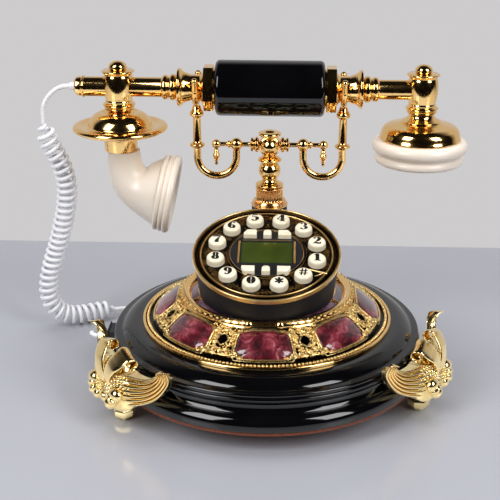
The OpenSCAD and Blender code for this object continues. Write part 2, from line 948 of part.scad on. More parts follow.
// Gold collar and fluted sleeve that guide the plunger
module post_sleeve() {
    color(gold)
    translate([0, post_y, 0])
    difference() {
        union() {
            translate([0, 0, turret_top])
                rotate_extrude()
                    polygon(concat(
                        [[0, 0], [collar_r - 0.6, 0], [collar_r, 0.6], [collar_r, 1.4]],
                        [[collar_r - 0.8, 2], [collar_r - 0.8, 2.6]],
                        [[collar_r - 1.6, collar_z - turret_top], [0, collar_z - turret_top]]
                    ));
            translate([0, 0, collar_z - 0.1])
                linear_extrude(height = sleeve_h - 0.9)
                    polygon([for (k = [0 : 2 * flutes - 1])
                        (sleeve_r - 0.2 - (k % 2) * 0.7) * [cos(180 * k / flutes), sin(180 * k / flutes)]]);
            translate([0, 0, sleeve_top - 1.1])
                cylinder(r = sleeve_r, h = 1.1);
        }
        translate([0, 0, turret_top - 1])
            cylinder(r = plunger_r + plunger_gap, h = sleeve_h + 20);
    }
}

// ---------- cradle ----------

hub_ball_r = 5.3;

// Plunger, cone, ball, bell collar and hub, turned in one piece
module cradle_post() {
    color(gold)
    translate([0, post_y, 0])
    difference() {
        union() {
            post_body();
            post_hub();
        }
        translate([0, 0, bar_z])
            rotate([0, 90, 0])
                cylinder(r = core_rod_r + 0.05, h = 30, center = true);
    }
}

module post_body() {
    cone_h = 5.4;
    ball_z = bar_z - 16.6;
    rotate_extrude()
        polygon(concat(
            [[0, plunger_z - 5], [1.6, plunger_z - 5], [1.6, plunger_z]],
            [[turret_bore_r - 0.7, plunger_z], [turret_bore_r - 0.7, plunger_z + 2]],
            [[plunger_r, plunger_z + 2], [plunger_r, cone_z], [sleeve_r - 0.6, cone_z]],
            [[sleeve_r, cone_z + 0.6], [sleeve_r, cone_z + 1.4], [sleeve_r - 1.6, cone_z + 2]],
            [[4.6, cone_z + cone_h - 1], [4.6, cone_z + cone_h]],
            arc(0, ball_z, 6.9, -40, 52, 10),
            [[4.4, ball_z + 5.6], [7.3, ball_z + 6.2], [7.5, ball_z + 7.4], [6, ball_z + 8.6]],
            [[3.8, ball_z + 10], [4.4, ball_z + 12], [5.2, bar_z - 3], [0, bar_z - 3]]
        ));
}

module post_hub() {
    translate([0, 0, bar_z])
        rotate([90, 0, 0])
            cylinder(r = 6.6, h = 11, center = true);
    for (s = [-1, 1])
        translate([0, s * 4.4, bar_z])
            sphere(r = hub_ball_r, $fn = 48);
    translate([0, 0, bar_z + 4])
        rotate_extrude()
            polygon([[0, 0], [4.2, 0], [4.2, 1.6], [6.9, 2], [7.2, 3], [6.6, 4], [3.6, 4.3], [3, 5], [0, 5.4]]);
}

// Turns a profile of [distance, radius] about the X axis
module turned_along_x(points) {
    rotate([90, 0, 90])
        rotate_extrude()
            polygon([for (p = points) [p[1], p[0]]]);
}

cross_end_x = hook_x + 0.4;
core_rod_r = 2;
hub_side = 6.65;

module cross_bar_side() {
    rod = 1.4;
    translate([0, post_y, bar_z]) {
        turned_along_x(concat(
            [[-0.5, 0], [-0.5, core_rod_r], [hub_side, core_rod_r]],
            [[hub_side, 3.6], [7.6, 4.8], [8.8, 4.8], [9.2, 3.4], [10, 3.4], [10.4, 4.4]],
            [[11.6, 4.4], [12.2, rod], [inner_leg_x - 3.7, rod]],
            [for (i = [1 : 11]) [inner_leg_x - 4 * cos(15 * i), 4 * sin(15 * i)]],
            [[inner_leg_x + 3.8, rod], [24.6, rod], [25, 2.3], [26, 2.3], [26.4, rod]],
            [[cross_end_x - 2.6, rod]],
            [for (i = [2 : 8]) [cross_end_x - 2.9 * cos(22.5 * i), 2.9 * sin(22.5 * i)]]
        ));
        translate([cross_end_x, 0, -13.6])
            rotate_extrude($fn = 32)
                polygon([
                    [0, 0], [0.8, 0.3], [1.1, 1.1], [0.8, 2], [0.9, 2.4], [2.2, 6], [2.3, 6.8],
                    [1.7, 7.8], [1.2, 8.4], [1.9, 9.2], [1.2, 10], [1.2, 12], [0, 12]
                ]);
    }
}

module cross_bar() {
    color(gold)
    union() {
        cross_bar_side();
        mirror([1, 0, 0])
            cross_bar_side();
    }
}

// U tube, post, base and fork of one hook
module hook() {
    u_top = hook_z;
    fork_base = handset_z - fork_r - prong_r;
    color(gold)
    translate([0, post_y, 0])
    union() {
        translate([hook_x, 0, u_top])
            rotate([90, 0, 0])
                rotate_extrude(angle = -180)
                    translate([hook_bend_r, 0])
                        circle(r = hook_tube_r, $fn = 32);
        translate([inner_leg_x, 0, u_top])
            cylinder(r = hook_tube_r, h = bar_z - 4.03 - u_top, $fn = 32);
        translate([outer_leg_x, 0, 0])
            rotate_extrude($fn = 48)
                polygon([
                    [0, u_top], [hook_tube_r, u_top], [hook_tube_r, bar_z - 2.2], [4.2, bar_z - 1.8],
                    [4.8, bar_z - 0.8], [4.6, bar_z + 0.2], [3.2, bar_z + 0.8], [2.6, bar_z + 1.6],
                    [2.4, fork_base - 6.6], [3.6, fork_base - 5.8], [4.4, fork_base - 4.6],
                    [4.4, fork_base - 3.4], [3.6, fork_base - 2.2], [2.9, fork_base - 1.2],
                    [2.4, fork_base + 1], [0, fork_base + 1]
                ]);
        translate([outer_leg_x, 0, handset_z]) {
            rotate([0, 90, 0])
                rotate([0, 0, 90])
                    rotate_extrude(angle = -180)
                        translate([fork_r, 0])
                            circle(r = prong_r, $fn = 32);
            for (s = [-1, 1])
                translate([0, s * fork_r, 0])
                    prong(s);
        }
    }
}

// Upper half of a fork prong, leaning out to a round tip
module prong(side) {
    lean = prong_spread - fork_r;
    rise = 6.2;
    angle = atan(lean / rise);
    rotate([-side * angle, 0, 0])
        union() {
            translate([0, 0, -0.6])
                cylinder(r = prong_r, h = norm([lean, rise]) + 0.6, $fn = 32);
            translate([0, 0, norm([lean, rise])])
                sphere(r = prong_r + 0.15, $fn = 32);
        }
}

module hook_right() {
    hook();
}

module hook_left() {
    mirror([1, 0, 0])
        hook();
}

// ---------- handset ----------

// Places its children on the handset's axis
module on_handset() {
    translate([0, post_y, handset_z])
        children();
}

core_r = 4;
grip_half = grip_l / 2;

module grip() {
    color(lacquer)
    on_handset()
        turned_along_x(concat(
            [[-grip_half, core_r + 0.02], [-grip_half, grip_r - 3]],
            [for (i = [1 : 8]) let(a = 90 * i / 8) [-grip_half + 2.4 * (1 - cos(a)) * 1, grip_r - 3 + 3 * sin(a)]],
            [for (i = [8 : -1 : 1]) let(a = 90 * i / 8) [grip_half - 2.4 * (1 - cos(a)), grip_r - 3 + 3 * sin(a)]],
            [[grip_half, grip_r - 3], [grip_half, core_r + 0.02]]
        ));
}

// Distances along the handset from its middle
octagon_x = grip_half + 1.2;
octagon_l = 6;
waist_x = octagon_x + octagon_l + 2;
flange_x = outer_leg_x + 10;
socket_depth = 6;

// Collars, waist, flange, beads and bar between the grip and a hub
module neck_fitting() {
    turned_along_x(concat(
        [[0, 0], [0, core_r], [grip_half + 0.05, core_r], [grip_half + 0.05, 12]],
        [[octagon_x + 0.1, 12], [octagon_x + 0.1, 10], [octagon_x + octagon_l + 0.2, 10]],
        [[octagon_x + octagon_l + 0.8, 9.6], [waist_x, waist_r], [outer_leg_x + prong_r + 1.2, waist_r]],
        [[flange_x - 3.4, waist_r + 1.2], [flange_x - 1, octagon_r - 3.4], [flange_x, octagon_r - 2.6]],
        [[flange_x + 1.2, octagon_r - 2.6], [flange_x + 1.6, bar_r + 2.4], [flange_x + 2, bar_r + 0.6]],
        [for (i = [1 : 5]) [flange_x + 4.2 - 2.2 * cos(30 * i), bar_r + 0.2 + 2 * sin(30 * i)]],
        [[flange_x + 6.6, bar_r + 0.4]],
        [for (i = [1 : 5]) [flange_x + 8.8 - 2 * cos(30 * i), bar_r + 0.2 + 1.4 * sin(30 * i)]],
        [[flange_x + 11, bar_r], [end_x - hub_r + socket_depth, bar_r], [end_x - hub_r + socket_depth, 0]]
    ));
    translate([octagon_x, 0, 0])
        rotate([0, 90, 0])
            rotate([0, 0, 22.5])
                cylinder(r = octagon_r, h = octagon_l, $fn = 8);
}

module neck_fittings() {
    color(gold)
    on_handset()
    union() {
        neck_fitting();
        mirror([1, 0, 0])
            neck_fitting();
    }
}

hub_top = handset_z + 9.8;
hub_low = handset_z - 10;

// Pear-shaped hub with a flared lip and a domed finial
module hub_body(tip_r, tip_h) {
    rotate_extrude()
        polygon(concat(
            [[0, hub_low], [hub_r - 2, hub_low]],
            [[hub_r - 0.6, hub_low + 1.6]],
            [for (i = [0 : 8]) [hub_r - 2 + 2 * sin(20 + 14 * i), hub_low + 2.2 + 1.8 * i]],
            [[hub_r - 1, hub_top - 2], [hub_r + 0.7, hub_top - 0.4], [hub_r + 0.5, hub_top + 0.3]],
            [[tip_r - 1.4, hub_top + 0.8]],
            [for (i = [0 : 8]) let(a = -25 + 115 * i / 8)
                [tip_r * cos(a), hub_top + 2.4 + (tip_h - 2.4) * sin(a)]]
        ));
}

// Turned rings under a hub, above the end's own profile
module hub_stack(end_profile) {
    rotate_extrude()
        polygon(concat(
            [[0, hub_low], [hub_r, hub_low], [hub_r + 0.8, hub_low - 0.9], [hub_r, hub_low - 1.8]],
            [[hub_r - 1.2, hub_low - 2], [hub_r, hub_low - 2.8], [hub_r - 0.4, hub_low - 3.8]],
            end_profile
        ));
}

socket_end = end_x - hub_r + socket_depth + 0.05;

// Socket in a hub for the bar, on the side towards the grip
module bar_socket() {
    turned_along_x([[0, 0], [0, bar_r + 0.05], [socket_end, bar_r + 0.05], [socket_end, 0]]);
}

bar_end_x = end_x + 20.8;
bell_top = hub_low - 5;
bell_z = handset_z - 27.6;
horn_top = handset_z - 40;

module left_hub() {
    color(gold)
    difference() {
        union() {
            translate([-end_x, post_y, 0]) {
                hub_body(5.6, 6.2);
                hub_stack([[hub_r - 3.2, bell_top], [0, bell_top]]);
            }
            on_handset()
                mirror([1, 0, 0])
                    turned_along_x([[end_x, 0], [end_x, bar_r], [bar_end_x, bar_r], [bar_end_x, 0]]);
        }
        on_handset()
            mirror([1, 0, 0])
                bar_socket();
    }
}

receiver_top = handset_z - 19.6;

module right_hub() {
    color(gold)
    difference() {
        translate([end_x, post_y, 0]) {
            hub_body(5.4, 6);
            hub_stack([
                [hub_r - 1.8, hub_low - 4.2], [hub_r - 1.4, receiver_top + 4], [hub_r + 0.2, receiver_top + 2.2],
                [hub_r + 2.6, receiver_top + 1], [hub_r + 2.8, receiver_top], [0, receiver_top]
            ]);
        }
        on_handset()
            bar_socket();
    }
}

// Ringed cap on the free end of the bar
module bar_end_cap() {
    color(gold)
    on_handset()
        mirror([1, 0, 0])
            turned_along_x([
                [bar_end_x, 0], [bar_end_x, bar_r + 0.4], [bar_end_x + 0.6, bar_r + 0.8],
                [bar_end_x + 1.4, bar_r + 0.4], [bar_end_x + 1.6, bar_r - 0.2], [bar_end_x + 2.6, bar_r],
                [bar_end_x + 4.8, bar_r - 0.2], [bar_end_x + 5.8, bar_r - 1.2],
                [gland_x, 0]
            ]);
}

// Bell-shaped disc over the mouthpiece, with its collar
module mouthpiece_bell() {
    r = disc_r;
    color(gold)
    translate([-end_x, post_y, 0])
        rotate_extrude($fn = 96)
            polygon(concat(
                [[0, bell_top], [hub_r - 2.4, bell_top], [hub_r - 0.4, bell_top - 2]],
                arc(hub_r + 0.6, bell_z + 2.2, 9.9, 80, 10, 6),
                [[hub_r + 11.2, bell_z + 3.4], [hub_r + 12.6, bell_z + 3.2]],
                [[r - 3, bell_z + 4.2], [r - 0.8, bell_z + 3.6], [r, bell_z + 2.4]],
                [[r - 0.4, bell_z + 1.2], [r - 2.4, bell_z], [r - 8, bell_z - 0.6]],
                [[13, bell_z], [11.4, bell_z - 1], [10.4, bell_z - 4], [10.2, horn_top], [0, horn_top]]
            ));
}

horn_wall = 2;
horn_start_r = 10;

// Middle of the cup's back face, and the elbow that leads to it
cup_t = 11.2;
cup_dir = [cos(cup_tilt), 0, -sin(cup_tilt)];
cup_mid = [-end_x + 27.6, 0, handset_z - 68.2];
cup_back = cup_mid - cup_dir * cup_t / 2;

// Centre line of the horn at t from 0 to 1: a curve that starts downwards and ends along the cup
function horn_point(t) = let(
    a = [-end_x + 1.6, 0, horn_top],
    b = [-end_x + 1.6, 0, horn_top - 24],
    c = cup_back - cup_dir * 14
) (1 - t) ^ 3 * a + 3 * (1 - t) ^ 2 * t * b + 3 * (1 - t) * t ^ 2 * c + t ^ 3 * cup_back;
function horn_radius(t) = horn_start_r + (cup_r - 3.6 - horn_start_r) * (0.25 * t + 0.75 * t ^ 3);
function horn_normal(t) = unit(horn_point(min(t + 0.02, 1)) - horn_point(max(t - 0.02, 0)));

module mouthpiece_horn() {
    rings = 12;
    sides = 32;
    start = [0, 0, -1];
    function axis(i) = i == 0 ? start : i == rings ? cup_dir : horn_normal(i / rings);
    function loop(i, shrink) = let(
        t = i / rings,
        n = axis(i),
        u = unit(cross([0, 1, 0], n))
    ) [for (k = [0 : sides - 1]) horn_point(t) + (horn_radius(t) - shrink)
        * (u * cos(360 * k / sides) + [0, 1, 0] * sin(360 * k / sides))];
    outside = [for (i = [0 : rings]) each loop(i, 0)];
    inside = [for (i = [0 : rings]) each loop(i, horn_wall)];
    count = len(outside);
    faces = [
        for (i = [0 : rings - 1], k = [0 : sides - 1]) let(
            a = i * sides + k,
            b = i * sides + (k + 1) % sides
        ) each [[a, b, a + sides], [b, b + sides, a + sides],
                [count + a, count + a + sides, count + b], [count + b, count + a + sides, count + b + sides]],
        for (k = [0 : sides - 1]) let(
            a = k,
            b = (k + 1) % sides,
            e = rings * sides
        ) each [[a, count + a, b], [b, count + a, count + b],
                [e + a, e + b, count + e + a], [e + b, count + e + b, count + e + a]]
    ];
    color(ivory)
    translate([0, post_y, 0])
        polyhedron(concat(outside, inside), faces);
}

// Places its children at the cup's middle, with +Z along the way it faces
module on_cup() {
    translate([cup_mid[0], post_y, cup_mid[2]])
        rotate([0, 90 + cup_tilt, 0])
            children();
}

module mouthpiece_cup() {
    h = cup_t / 2;
    color(ivory)
    on_cup()
    difference() {
        rotate_extrude($fn = 96)
            polygon(concat(
                [[0, -h + 0.05], [cup_r - 3.4, -h + 0.05], [cup_r - 1.8, -h + 1]],
                arc(cup_r - 2.6, -h + 3, 1.8, -50, 60, 5),
                [[cup_r - 1.8, -h + 5.2]],
                arc(cup_r - 2.4, h - 3, 2.4, -60, 90, 8),
                [[cup_r - 6, h - 1], [cup_r - 10, h - 2.6], [0, h - 3]]
            ));
        for (r = [0, 5, 10], k = [0 : max(0, r * 6 / 5 - 1)])
            rotate([0, 0, r == 0 ? 0 : k * 360 / (r * 6 / 5)])
                translate([r, 0, -h + 4.6])
                    cylinder(r = 0.8, h = 8, $fn = 16);
        translate([0, 0, -h - 1])
            cylinder(r = 13.2, h = 5.6);
    }
}

module microphone() {
    color("dimgray")
    on_cup()
        translate([0, 0, -cup_t / 2 + 0.3])
            cylinder(r = 13, h = 4);
}

ear_z = handset_z - 46;
cap_z = handset_z - 30;

// Gold cap over the earpiece
module receiver_cap() {
    r = cup_r + 0.1;
    color(gold)
    translate([end_x, post_y, 0])
        rotate_extrude($fn = 96)
            polygon([
                [0, receiver_top], [hub_r + 3.2, receiver_top], [hub_r + 4.4, receiver_top - 0.6],
                [r - 5, receiver_top - 2], [r - 2.6, receiver_top - 3.4], [r - 1.2, receiver_top - 5.6],
                [r - 0.6, receiver_top - 8], [r, cap_z + 0.8], [r, cap_z], [r - 2.2, cap_z],
                [r - 3.4, receiver_top - 6], [r - 6, receiver_top - 4], [0, receiver_top - 3]
            ]);
}

// Ivory earpiece: a fat ring, a groove and a second ring round the pierced face
module ear_ring() {
    r = disc_r;
    color(ivory)
    translate([end_x, post_y, 0])
    difference() {
        rotate_extrude($fn = 96)
            polygon(concat(
                [[0, cap_z - 0.05], [r - 5, cap_z - 0.05]],
                arc(r - 4.1, cap_z - 4.4, 4.1, 80, -75, 12),
                [[r - 3.4, ear_z + 6.6]],
                arc(r - 4.8, ear_z + 3.6, 2.8, 60, -75, 7),
                [[r - 8, ear_z], [r - 12, ear_z + 2], [0, ear_z + 2.6]]
            ));
        for (r2 = [0, 5, 10], k = [0 : max(0, r2 * 6 / 5 - 1)])
            rotate([0, 0, r2 == 0 ? 0 : k * 360 / (r2 * 6 / 5)])
                translate([r2, 0, ear_z - 1])
                    cylinder(r = 0.9, h = 7, $fn = 16);
        translate([0, 0, ear_z + 5.6])
            cylinder(r = 14.2, h = 30);
    }
}

module receiver_capsule() {
    color("dimgray")
    translate([end_x, post_y, ear_z + 5.8])
        cylinder(r = 14, h = cap_z - ear_z - 6.2);
}

// ---------- cord ----------

gland_x = end_x + 26.8;
gland_l = 3.6;
lead_gap = 0.3;

module cord_gland() {
    color("gainsboro")
    on_handset()
        mirror([1, 0, 0])
            turned_along_x([
                [gland_x, 0], [gland_x, 2.8], [gland_x + 0.8, 2.6], [gland_x + gland_l, 2], [gland_x + gland_l, 0]
            ]);
}

// Free lead from the handset to the curls
lead_route = [
    [-gland_x - gland_l - lead_gap, 34.5, 173], [-126.2, 34.5, 172.9],
    [-129, 34.4, 172.2], [-133, 34.2, 170], [-136.6, 33.8, 166.6],
    [-139.2, 33.4, 162.6], [-140.4, 33, 158], [-140.4, 32.8, 153.4]
];

// Axis of the curls, down to the floor and along it
curl_route = [
    [-140.4, 32.8, 153.4], [-140.4, 32.5, 146.6], [-138.4, 33.2, 139], [-135, 34.4, 131], [-132, 36, 122.6],
    [-130.2, 38, 113.6], [-130.2, 40, 104.4], [-131.6, 42, 95], [-133.8, 44, 85.6], [-136.6, 46, 76],
    [-139.6, 48, 66.4], [-143, 49.6, 56.8], [-146.4, 50.8, 47], [-149, 51.6, 37], [-150, 52.4, 27],
    [-148, 53.6, 17.6], [-141.6, 56, 10.4], [-133, 60, 7.4], [-124, 64.6, 7.2], [-115, 68.6, 7.2],
    [-105.6, 71, 7.2]
];

// Free tail from the curls to the line plug
tail_route = [
    [-105.6, 71, 7.2], [-102.4, 71.8, 7.2], [-99, 71.6, 5.8], [-97, 68.6, 3.6], [-97.4, 63.6, 2.1],
    [-100.4, 57, 1.7], [-104.4, 49.4, 1.7], [-108, 41, 2.2], [-110.4, 32, 4.8], [-111.2, 23, 9.4],
    [-111.4, 14, 15], [-111.6, 5.4, 20], [-110.8, -2.4, 23.4], [-108, -6.8, 24], [-104.3, -7.5, 24]
];

// Smooth curve through the points of a route, at u from 0 to its last point
function route_at(p, u) = let(
    n = len(p) - 1,
    i = min(floor(u), n - 1),
    f = u - i,
    b = p[i],
    c = p[i + 1],
    a = i == 0 ? 2 * b - c : p[i - 1],
    d = i == n - 1 ? 2 * c - b : p[i + 2]
) 0.5 * (2 * b + (c - a) * f + (2 * a - 5 * b + 4 * c - d) * f ^ 2 + (3 * b - a - 3 * c + d) * f ^ 3);

function smooth_route(p, steps) = [for (i = [0 : (len(p) - 1) * steps]) route_at(p, i / steps)];

module cord_lead() {
    color("gainsboro")
        tube(smooth_route(lead_route, 2), cord_d / 2, 8);
}

module cord_tail() {
    color("gainsboro")
        tube(smooth_route(tail_route, 2), cord_d / 2, 8);
}

// Points of the curled cord: a helix round its route that opens from the axis at both ends
curl_rings = 8;
curl_steps = curls * curl_rings;
curl_r = (curl_d - cord_d) / 2;
function ease(x) = let(c = max(0, min(1, x))) c * c * (3 - 2 * c);

// Length of the curls' route up to each of its points, to space the turns evenly
function route_length(p, i) = i == 0 ? 0 : route_length(p, i - 1) + norm(p[i] - p[i - 1]);
curl_end = len(curl_route) - 1;
curl_lengths = [for (i = [0 : curl_end]) [route_length(curl_route, i), i]];
function curl_u(i) = lookup(curl_lengths[curl_end][0] * i / curl_steps, curl_lengths);
function curl_point(i) = let(
    u = curl_u(i),
    t = unit(route_at(curl_route, min(u + 0.05, curl_end)) - route_at(curl_route, max(u - 0.05, 0))),
    a = unit(cross(t, [0, 1, 0])),
    b = cross(t, a),
    open = ease((i - 5) / 13) * ease((curl_steps - i - 5) / 13),
    turn = 360 * i / curl_rings
) route_at(curl_route, u) + curl_r * open * (a * cos(turn) + b * sin(turn));
curl_points = [for (i = [0 : curl_steps]) curl_point(i)];

// Least gap between two turns, measured between points at least half a turn apart
curl_gap = min([
    for (i = [0 : curl_steps - 6], j = [i + 6 : min(curl_steps, i + 3 * curl_rings)])
        norm(curl_points[i] - curl_points[j])
]) - cord_d;

module cord_coil() {
    echo(least_gap_between_curls = curl_gap);
    color("gainsboro")
        tube(curl_points, cord_d / 2, 6, [for (i = [0 : curl_steps])
            curl_points[i] - route_at(curl_route, curl_u(i)) + 0.3 * [0.3, 1, 0.2]]);
}

plug_w = 8;
plug_h = 6;
plug_in = 8;
plug_out = 5.6;

// Modular plug and its short boot, seated in the socket
module line_plug() {
    color("white")
    translate([-plinth_r, base_y, socket_z])
    union() {
        translate([-0.8, -plug_w / 2, -plug_h / 2])
            cube([plug_in + 0.8, plug_w, plug_h]);
        rotate([0, -90, 0])
            translate([0, 0, 0.7])
                cylinder(r1 = 3.4, r2 = 2.2, h = plug_out);
    }
}

plinth();
bottom_board();
base_screws();
crown_plate();
crown_enamels();
inner_enamels();
placed_foot(0);  // foot_right
placed_foot(1);  // foot_rear
placed_foot(2);  // foot_left
circuit_board();
ringer();
line_socket();
dial_housing();
dial_bezel();
dial_face();
display_frame();
display_window();
key_board();
hook_switch();
return_spring();
post_sleeve();
digit_key(0);  // key_1
digit_key(1);  // key_2
digit_key(2);  // key_3
digit_key(3);  // key_4
digit_key(4);  // key_5
digit_key(5);  // key_6
digit_key(6);  // key_7
digit_key(7);  // key_8
digit_key(8);  // key_9
digit_key(9);  // key_0
digit_key(10);  // key_star
digit_key(11);  // key_hash
function_key(0);  // key_top_left
function_key(1);  // key_top_middle
function_key(2);  // key_top_right
function_key(3);  // key_low_left
function_key(4);  // key_low_middle
function_key(5);  // key_low_right
cradle_post();
cross_bar();
hook_left();
hook_right();
grip();
neck_fittings();
left_hub();
right_hub();
bar_end_cap();
mouthpiece_bell();
mouthpiece_horn();
mouthpiece_cup();
microphone();
receiver_cap();
ear_ring();
receiver_capsule();
cord_gland();
cord_lead();
cord_coil();
cord_tail();
line_plug();
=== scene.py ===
"""French-style cradle telephone: its looks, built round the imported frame.

Everything is in the part's frame: +X along the handset, -Y towards the user, +Z up.
Shapes are worked out in millimetres and scaled to metres once, when their mesh is made.
"""

import math

import bmesh
import bpy
import numpy as np
from mathutils import Euler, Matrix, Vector


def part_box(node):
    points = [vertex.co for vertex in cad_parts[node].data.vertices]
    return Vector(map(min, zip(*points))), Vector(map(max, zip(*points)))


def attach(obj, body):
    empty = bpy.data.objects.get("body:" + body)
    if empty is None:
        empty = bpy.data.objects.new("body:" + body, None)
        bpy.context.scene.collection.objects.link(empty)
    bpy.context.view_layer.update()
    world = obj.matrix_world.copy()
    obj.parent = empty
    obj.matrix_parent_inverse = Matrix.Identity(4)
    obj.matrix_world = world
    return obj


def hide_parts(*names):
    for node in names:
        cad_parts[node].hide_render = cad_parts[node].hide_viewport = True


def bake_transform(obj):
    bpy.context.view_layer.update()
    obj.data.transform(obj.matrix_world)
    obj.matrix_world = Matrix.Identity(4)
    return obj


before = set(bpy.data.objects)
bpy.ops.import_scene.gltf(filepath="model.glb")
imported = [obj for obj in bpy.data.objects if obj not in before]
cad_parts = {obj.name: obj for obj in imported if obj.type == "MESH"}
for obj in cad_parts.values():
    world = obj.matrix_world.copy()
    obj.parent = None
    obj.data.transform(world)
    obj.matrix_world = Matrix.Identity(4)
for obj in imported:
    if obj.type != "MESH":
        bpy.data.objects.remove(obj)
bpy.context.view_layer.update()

bl_info = {
    "name": "French-style cradle telephone",
    "version": (1, 0, 0),
    "blender": (4, 5, 0),
    "location": "3D View > Sidebar > Telephone",
    "description": "Gives the telephone's frame its finished pieces and materials",
    "category": "Object",
}

MM = 0.001


def low(node):
    """Lowest corner of a node, in millimetres."""
    return np.array(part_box(node)[0]) / MM


def high(node):
    """Highest corner of a node, in millimetres."""
    return np.array(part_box(node)[1]) / MM


BASE_Y = (low("plinth")[1] + high("plinth")[1]) / 2
BASE = (0.0, BASE_Y, 0.0)
POST_Y = (low("cross_bar")[1] + high("cross_bar")[1]) / 2
POST = (0.0, POST_Y, 0.0)
HANDSET_Z = (low("grip")[2] + high("grip")[2]) / 2
GRIP_HALF = high("grip")[0]
END_X = (low("ear_ring")[0] + high("ear_ring")[0]) / 2
PLINTH_R = high("plinth")[0]
CROWN_R = high("crown_plate")[0]


# ---------- colours and materials ----------


def colour(code):
    """Linear colour of an sRGB hex value: ((s + 0.055) / 1.055) ** 2.4 above the dark toe, s / 12.92 in it."""
    parts = [int(code[i : i + 2], 16) / 255 for i in (1, 3, 5)]
    return tuple(s / 12.92 if s <= 0.04045 else ((s + 0.055) / 1.055) ** 2.4 for s in parts) + (1.0,)


def add(tree, kind, inputs=None, **settings):
    """Adds a node, sets its settings, and sets or links its inputs."""
    node = tree.nodes.new(kind)
    for name, value in settings.items():
        setattr(node, name, value)
    for name, value in (inputs or {}).items():
        if isinstance(value, bpy.types.NodeSocket):
            tree.links.new(value, node.inputs[name])
        else:
            node.inputs[name].default_value = value
    return node


def ramp(tree, value, stops):
    """Colours between stops of (position, hex), as a value runs from 0 to 1."""
    node = add(tree, "ShaderNodeValToRGB", {"Fac": value})
    elements = node.color_ramp.elements
    while len(elements) < len(stops):
        elements.new(0.5)
    for element, (position, code) in zip(elements, stops):
        element.position = position
        element.color = colour(code)
    return node.outputs["Color"]


def new_tree(name):
    """An empty material: the material, its node tree and its place on the object."""
    material = bpy.data.materials.new(name)
    material.use_nodes = True
    tree = material.node_tree
    tree.nodes.clear()
    return material, tree, add(tree, "ShaderNodeTexCoord").outputs["Object"]


def close(material, tree, **sockets):
    """Ends a tree in one shader, whose sockets are named with underscores."""
    shader = add(tree, "ShaderNodeBsdfPrincipled", {k.replace("_", " "): v for k, v in sockets.items()})
    add(tree, "ShaderNodeOutputMaterial", {"Surface": shader.outputs["BSDF"]})
    return material


def noise(tree, place, size_mm, detail=2.0, distortion=0.0, roughness=0.5):
    """Soft noise whose features are about size_mm across."""
    inputs = {
        "Vector": place,
        "Scale": 1 / (size_mm * MM),
        "Detail": detail,
        "Distortion": distortion,
        "Roughness": roughness,
    }
    return add(tree, "ShaderNodeTexNoise", inputs).outputs["Fac"]


def bump(tree, height, depth_mm):
    """Bumps depth_mm deep for a height from 0 to 1."""
    return add(tree, "ShaderNodeBump", {"Height": height, "Distance": depth_mm * MM}).outputs["Normal"]


def spread(tree, value, start, end, least=0.0, most=1.0):
    """Maps least..most to start..end."""
    inputs = {"Value": value, "From Min": least, "From Max": most, "To Min": start, "To Max": end}
    return add(tree, "ShaderNodeMapRange", inputs).outputs["Result"]


def mix(tree, share, first, second, **settings):
    """A colour that goes from the first to the second as share goes from 0 to 1."""
    return add(tree, "ShaderNodeMix", {0: share, 6: first, 7: second}, data_type="RGBA", **settings).outputs[2]


def maths(tree, operation, first, second):
    """Two values joined by an operation."""
    return add(tree, "ShaderNodeMath", {0: first, 1: second}, operation=operation).outputs[0]


def plain(name, grain, stops, rough, bumps=None, sockets=None):
    """A finish of one layer, whose tints follow noise, or, where grain is None, the shape's pointiness: painted shade
    in its hollows and a painted highlight on its crests.

    grain is (size in mm, detail), rough (size, detail, least, most) or one number, and bumps (size, detail, depth)."""
    material, tree, place = new_tree(name)
    source = noise(tree, place, *grain) if grain else add(tree, "ShaderNodeNewGeometry").outputs["Pointiness"]
    if isinstance(stops[0], str):
        stops = list(zip((0.3, 0.7), stops))
    inputs = dict(sockets or {}, Base_Color=ramp(tree, source, stops), Roughness=rough)
    if isinstance(rough, tuple):
        inputs["Roughness"] = spread(tree, noise(tree, place, *rough[:2]), *rough[2:])
    if bumps:
        inputs["Normal"] = bump(tree, noise(tree, place, *bumps[:-1]), bumps[-1])
    return close(material, tree, **inputs)


def vitreous_enamel(name, stops, vein_mm):
    """Vitreous enamel over foil: swirled pigment that clouds and veins, under a fired clear coat."""
    material, tree, place = new_tree(name)
    swirl = noise(tree, place, vein_mm, 4, 2.4, 0.55)
    veins = add(
        tree,
        "ShaderNodeTexWave",
        {"Vector": place, "Scale": 0.16 / (vein_mm * MM), "Distortion": 9.0, "Detail": 3.0, "Detail Scale": 1.4},
    ).outputs["Fac"]
    both = maths(tree, "ADD", swirl, spread(tree, veins, -0.13, 0.13))
    return close(
        material,
        tree,
        Base_Color=ramp(tree, both, stops),
        Roughness=0.25,
        Coat_Weight=1.0,
        Coat_Roughness=0.04,
        Normal=bump(tree, swirl, 0.25),
    )


def bronze_brocade():
    """Blackened bronze dial with a fine worn gilt brocade: threads a quarter of a millimetre wide on a dark ground."""
    material, tree, place = new_tree("bronze_brocade")
    cells = add(
        tree,
        "ShaderNodeTexVoronoi",
        {"Vector": place, "Scale": 1 / (1.2 * MM), "Randomness": 0.9},
        feature="DISTANCE_TO_EDGE",
    ).outputs["Distance"]
    threads = noise(tree, place, 0.8, 3, 3.0)
    patches = noise(tree, place, 9, 2, 0.6)
    line = maths(tree, "LESS_THAN", cells, 0.11)
    fleck = maths(tree, "GREATER_THAN", threads, 0.56)
    where = spread(tree, patches, 0.0, 1.0, 0.5, 0.68)
    gilt = maths(tree, "MULTIPLY", maths(tree, "MAXIMUM", line, fleck), where)
    return close(
        material,
        tree,
        Base_Color=ramp(tree, gilt, [(0.0, "#0E0A07"), (1.0, "#8E6A36")]),
        Metallic=0.85,
        Roughness=spread(tree, gilt, 0.28, 0.4),
        Normal=bump(tree, gilt, 0.08),
    )


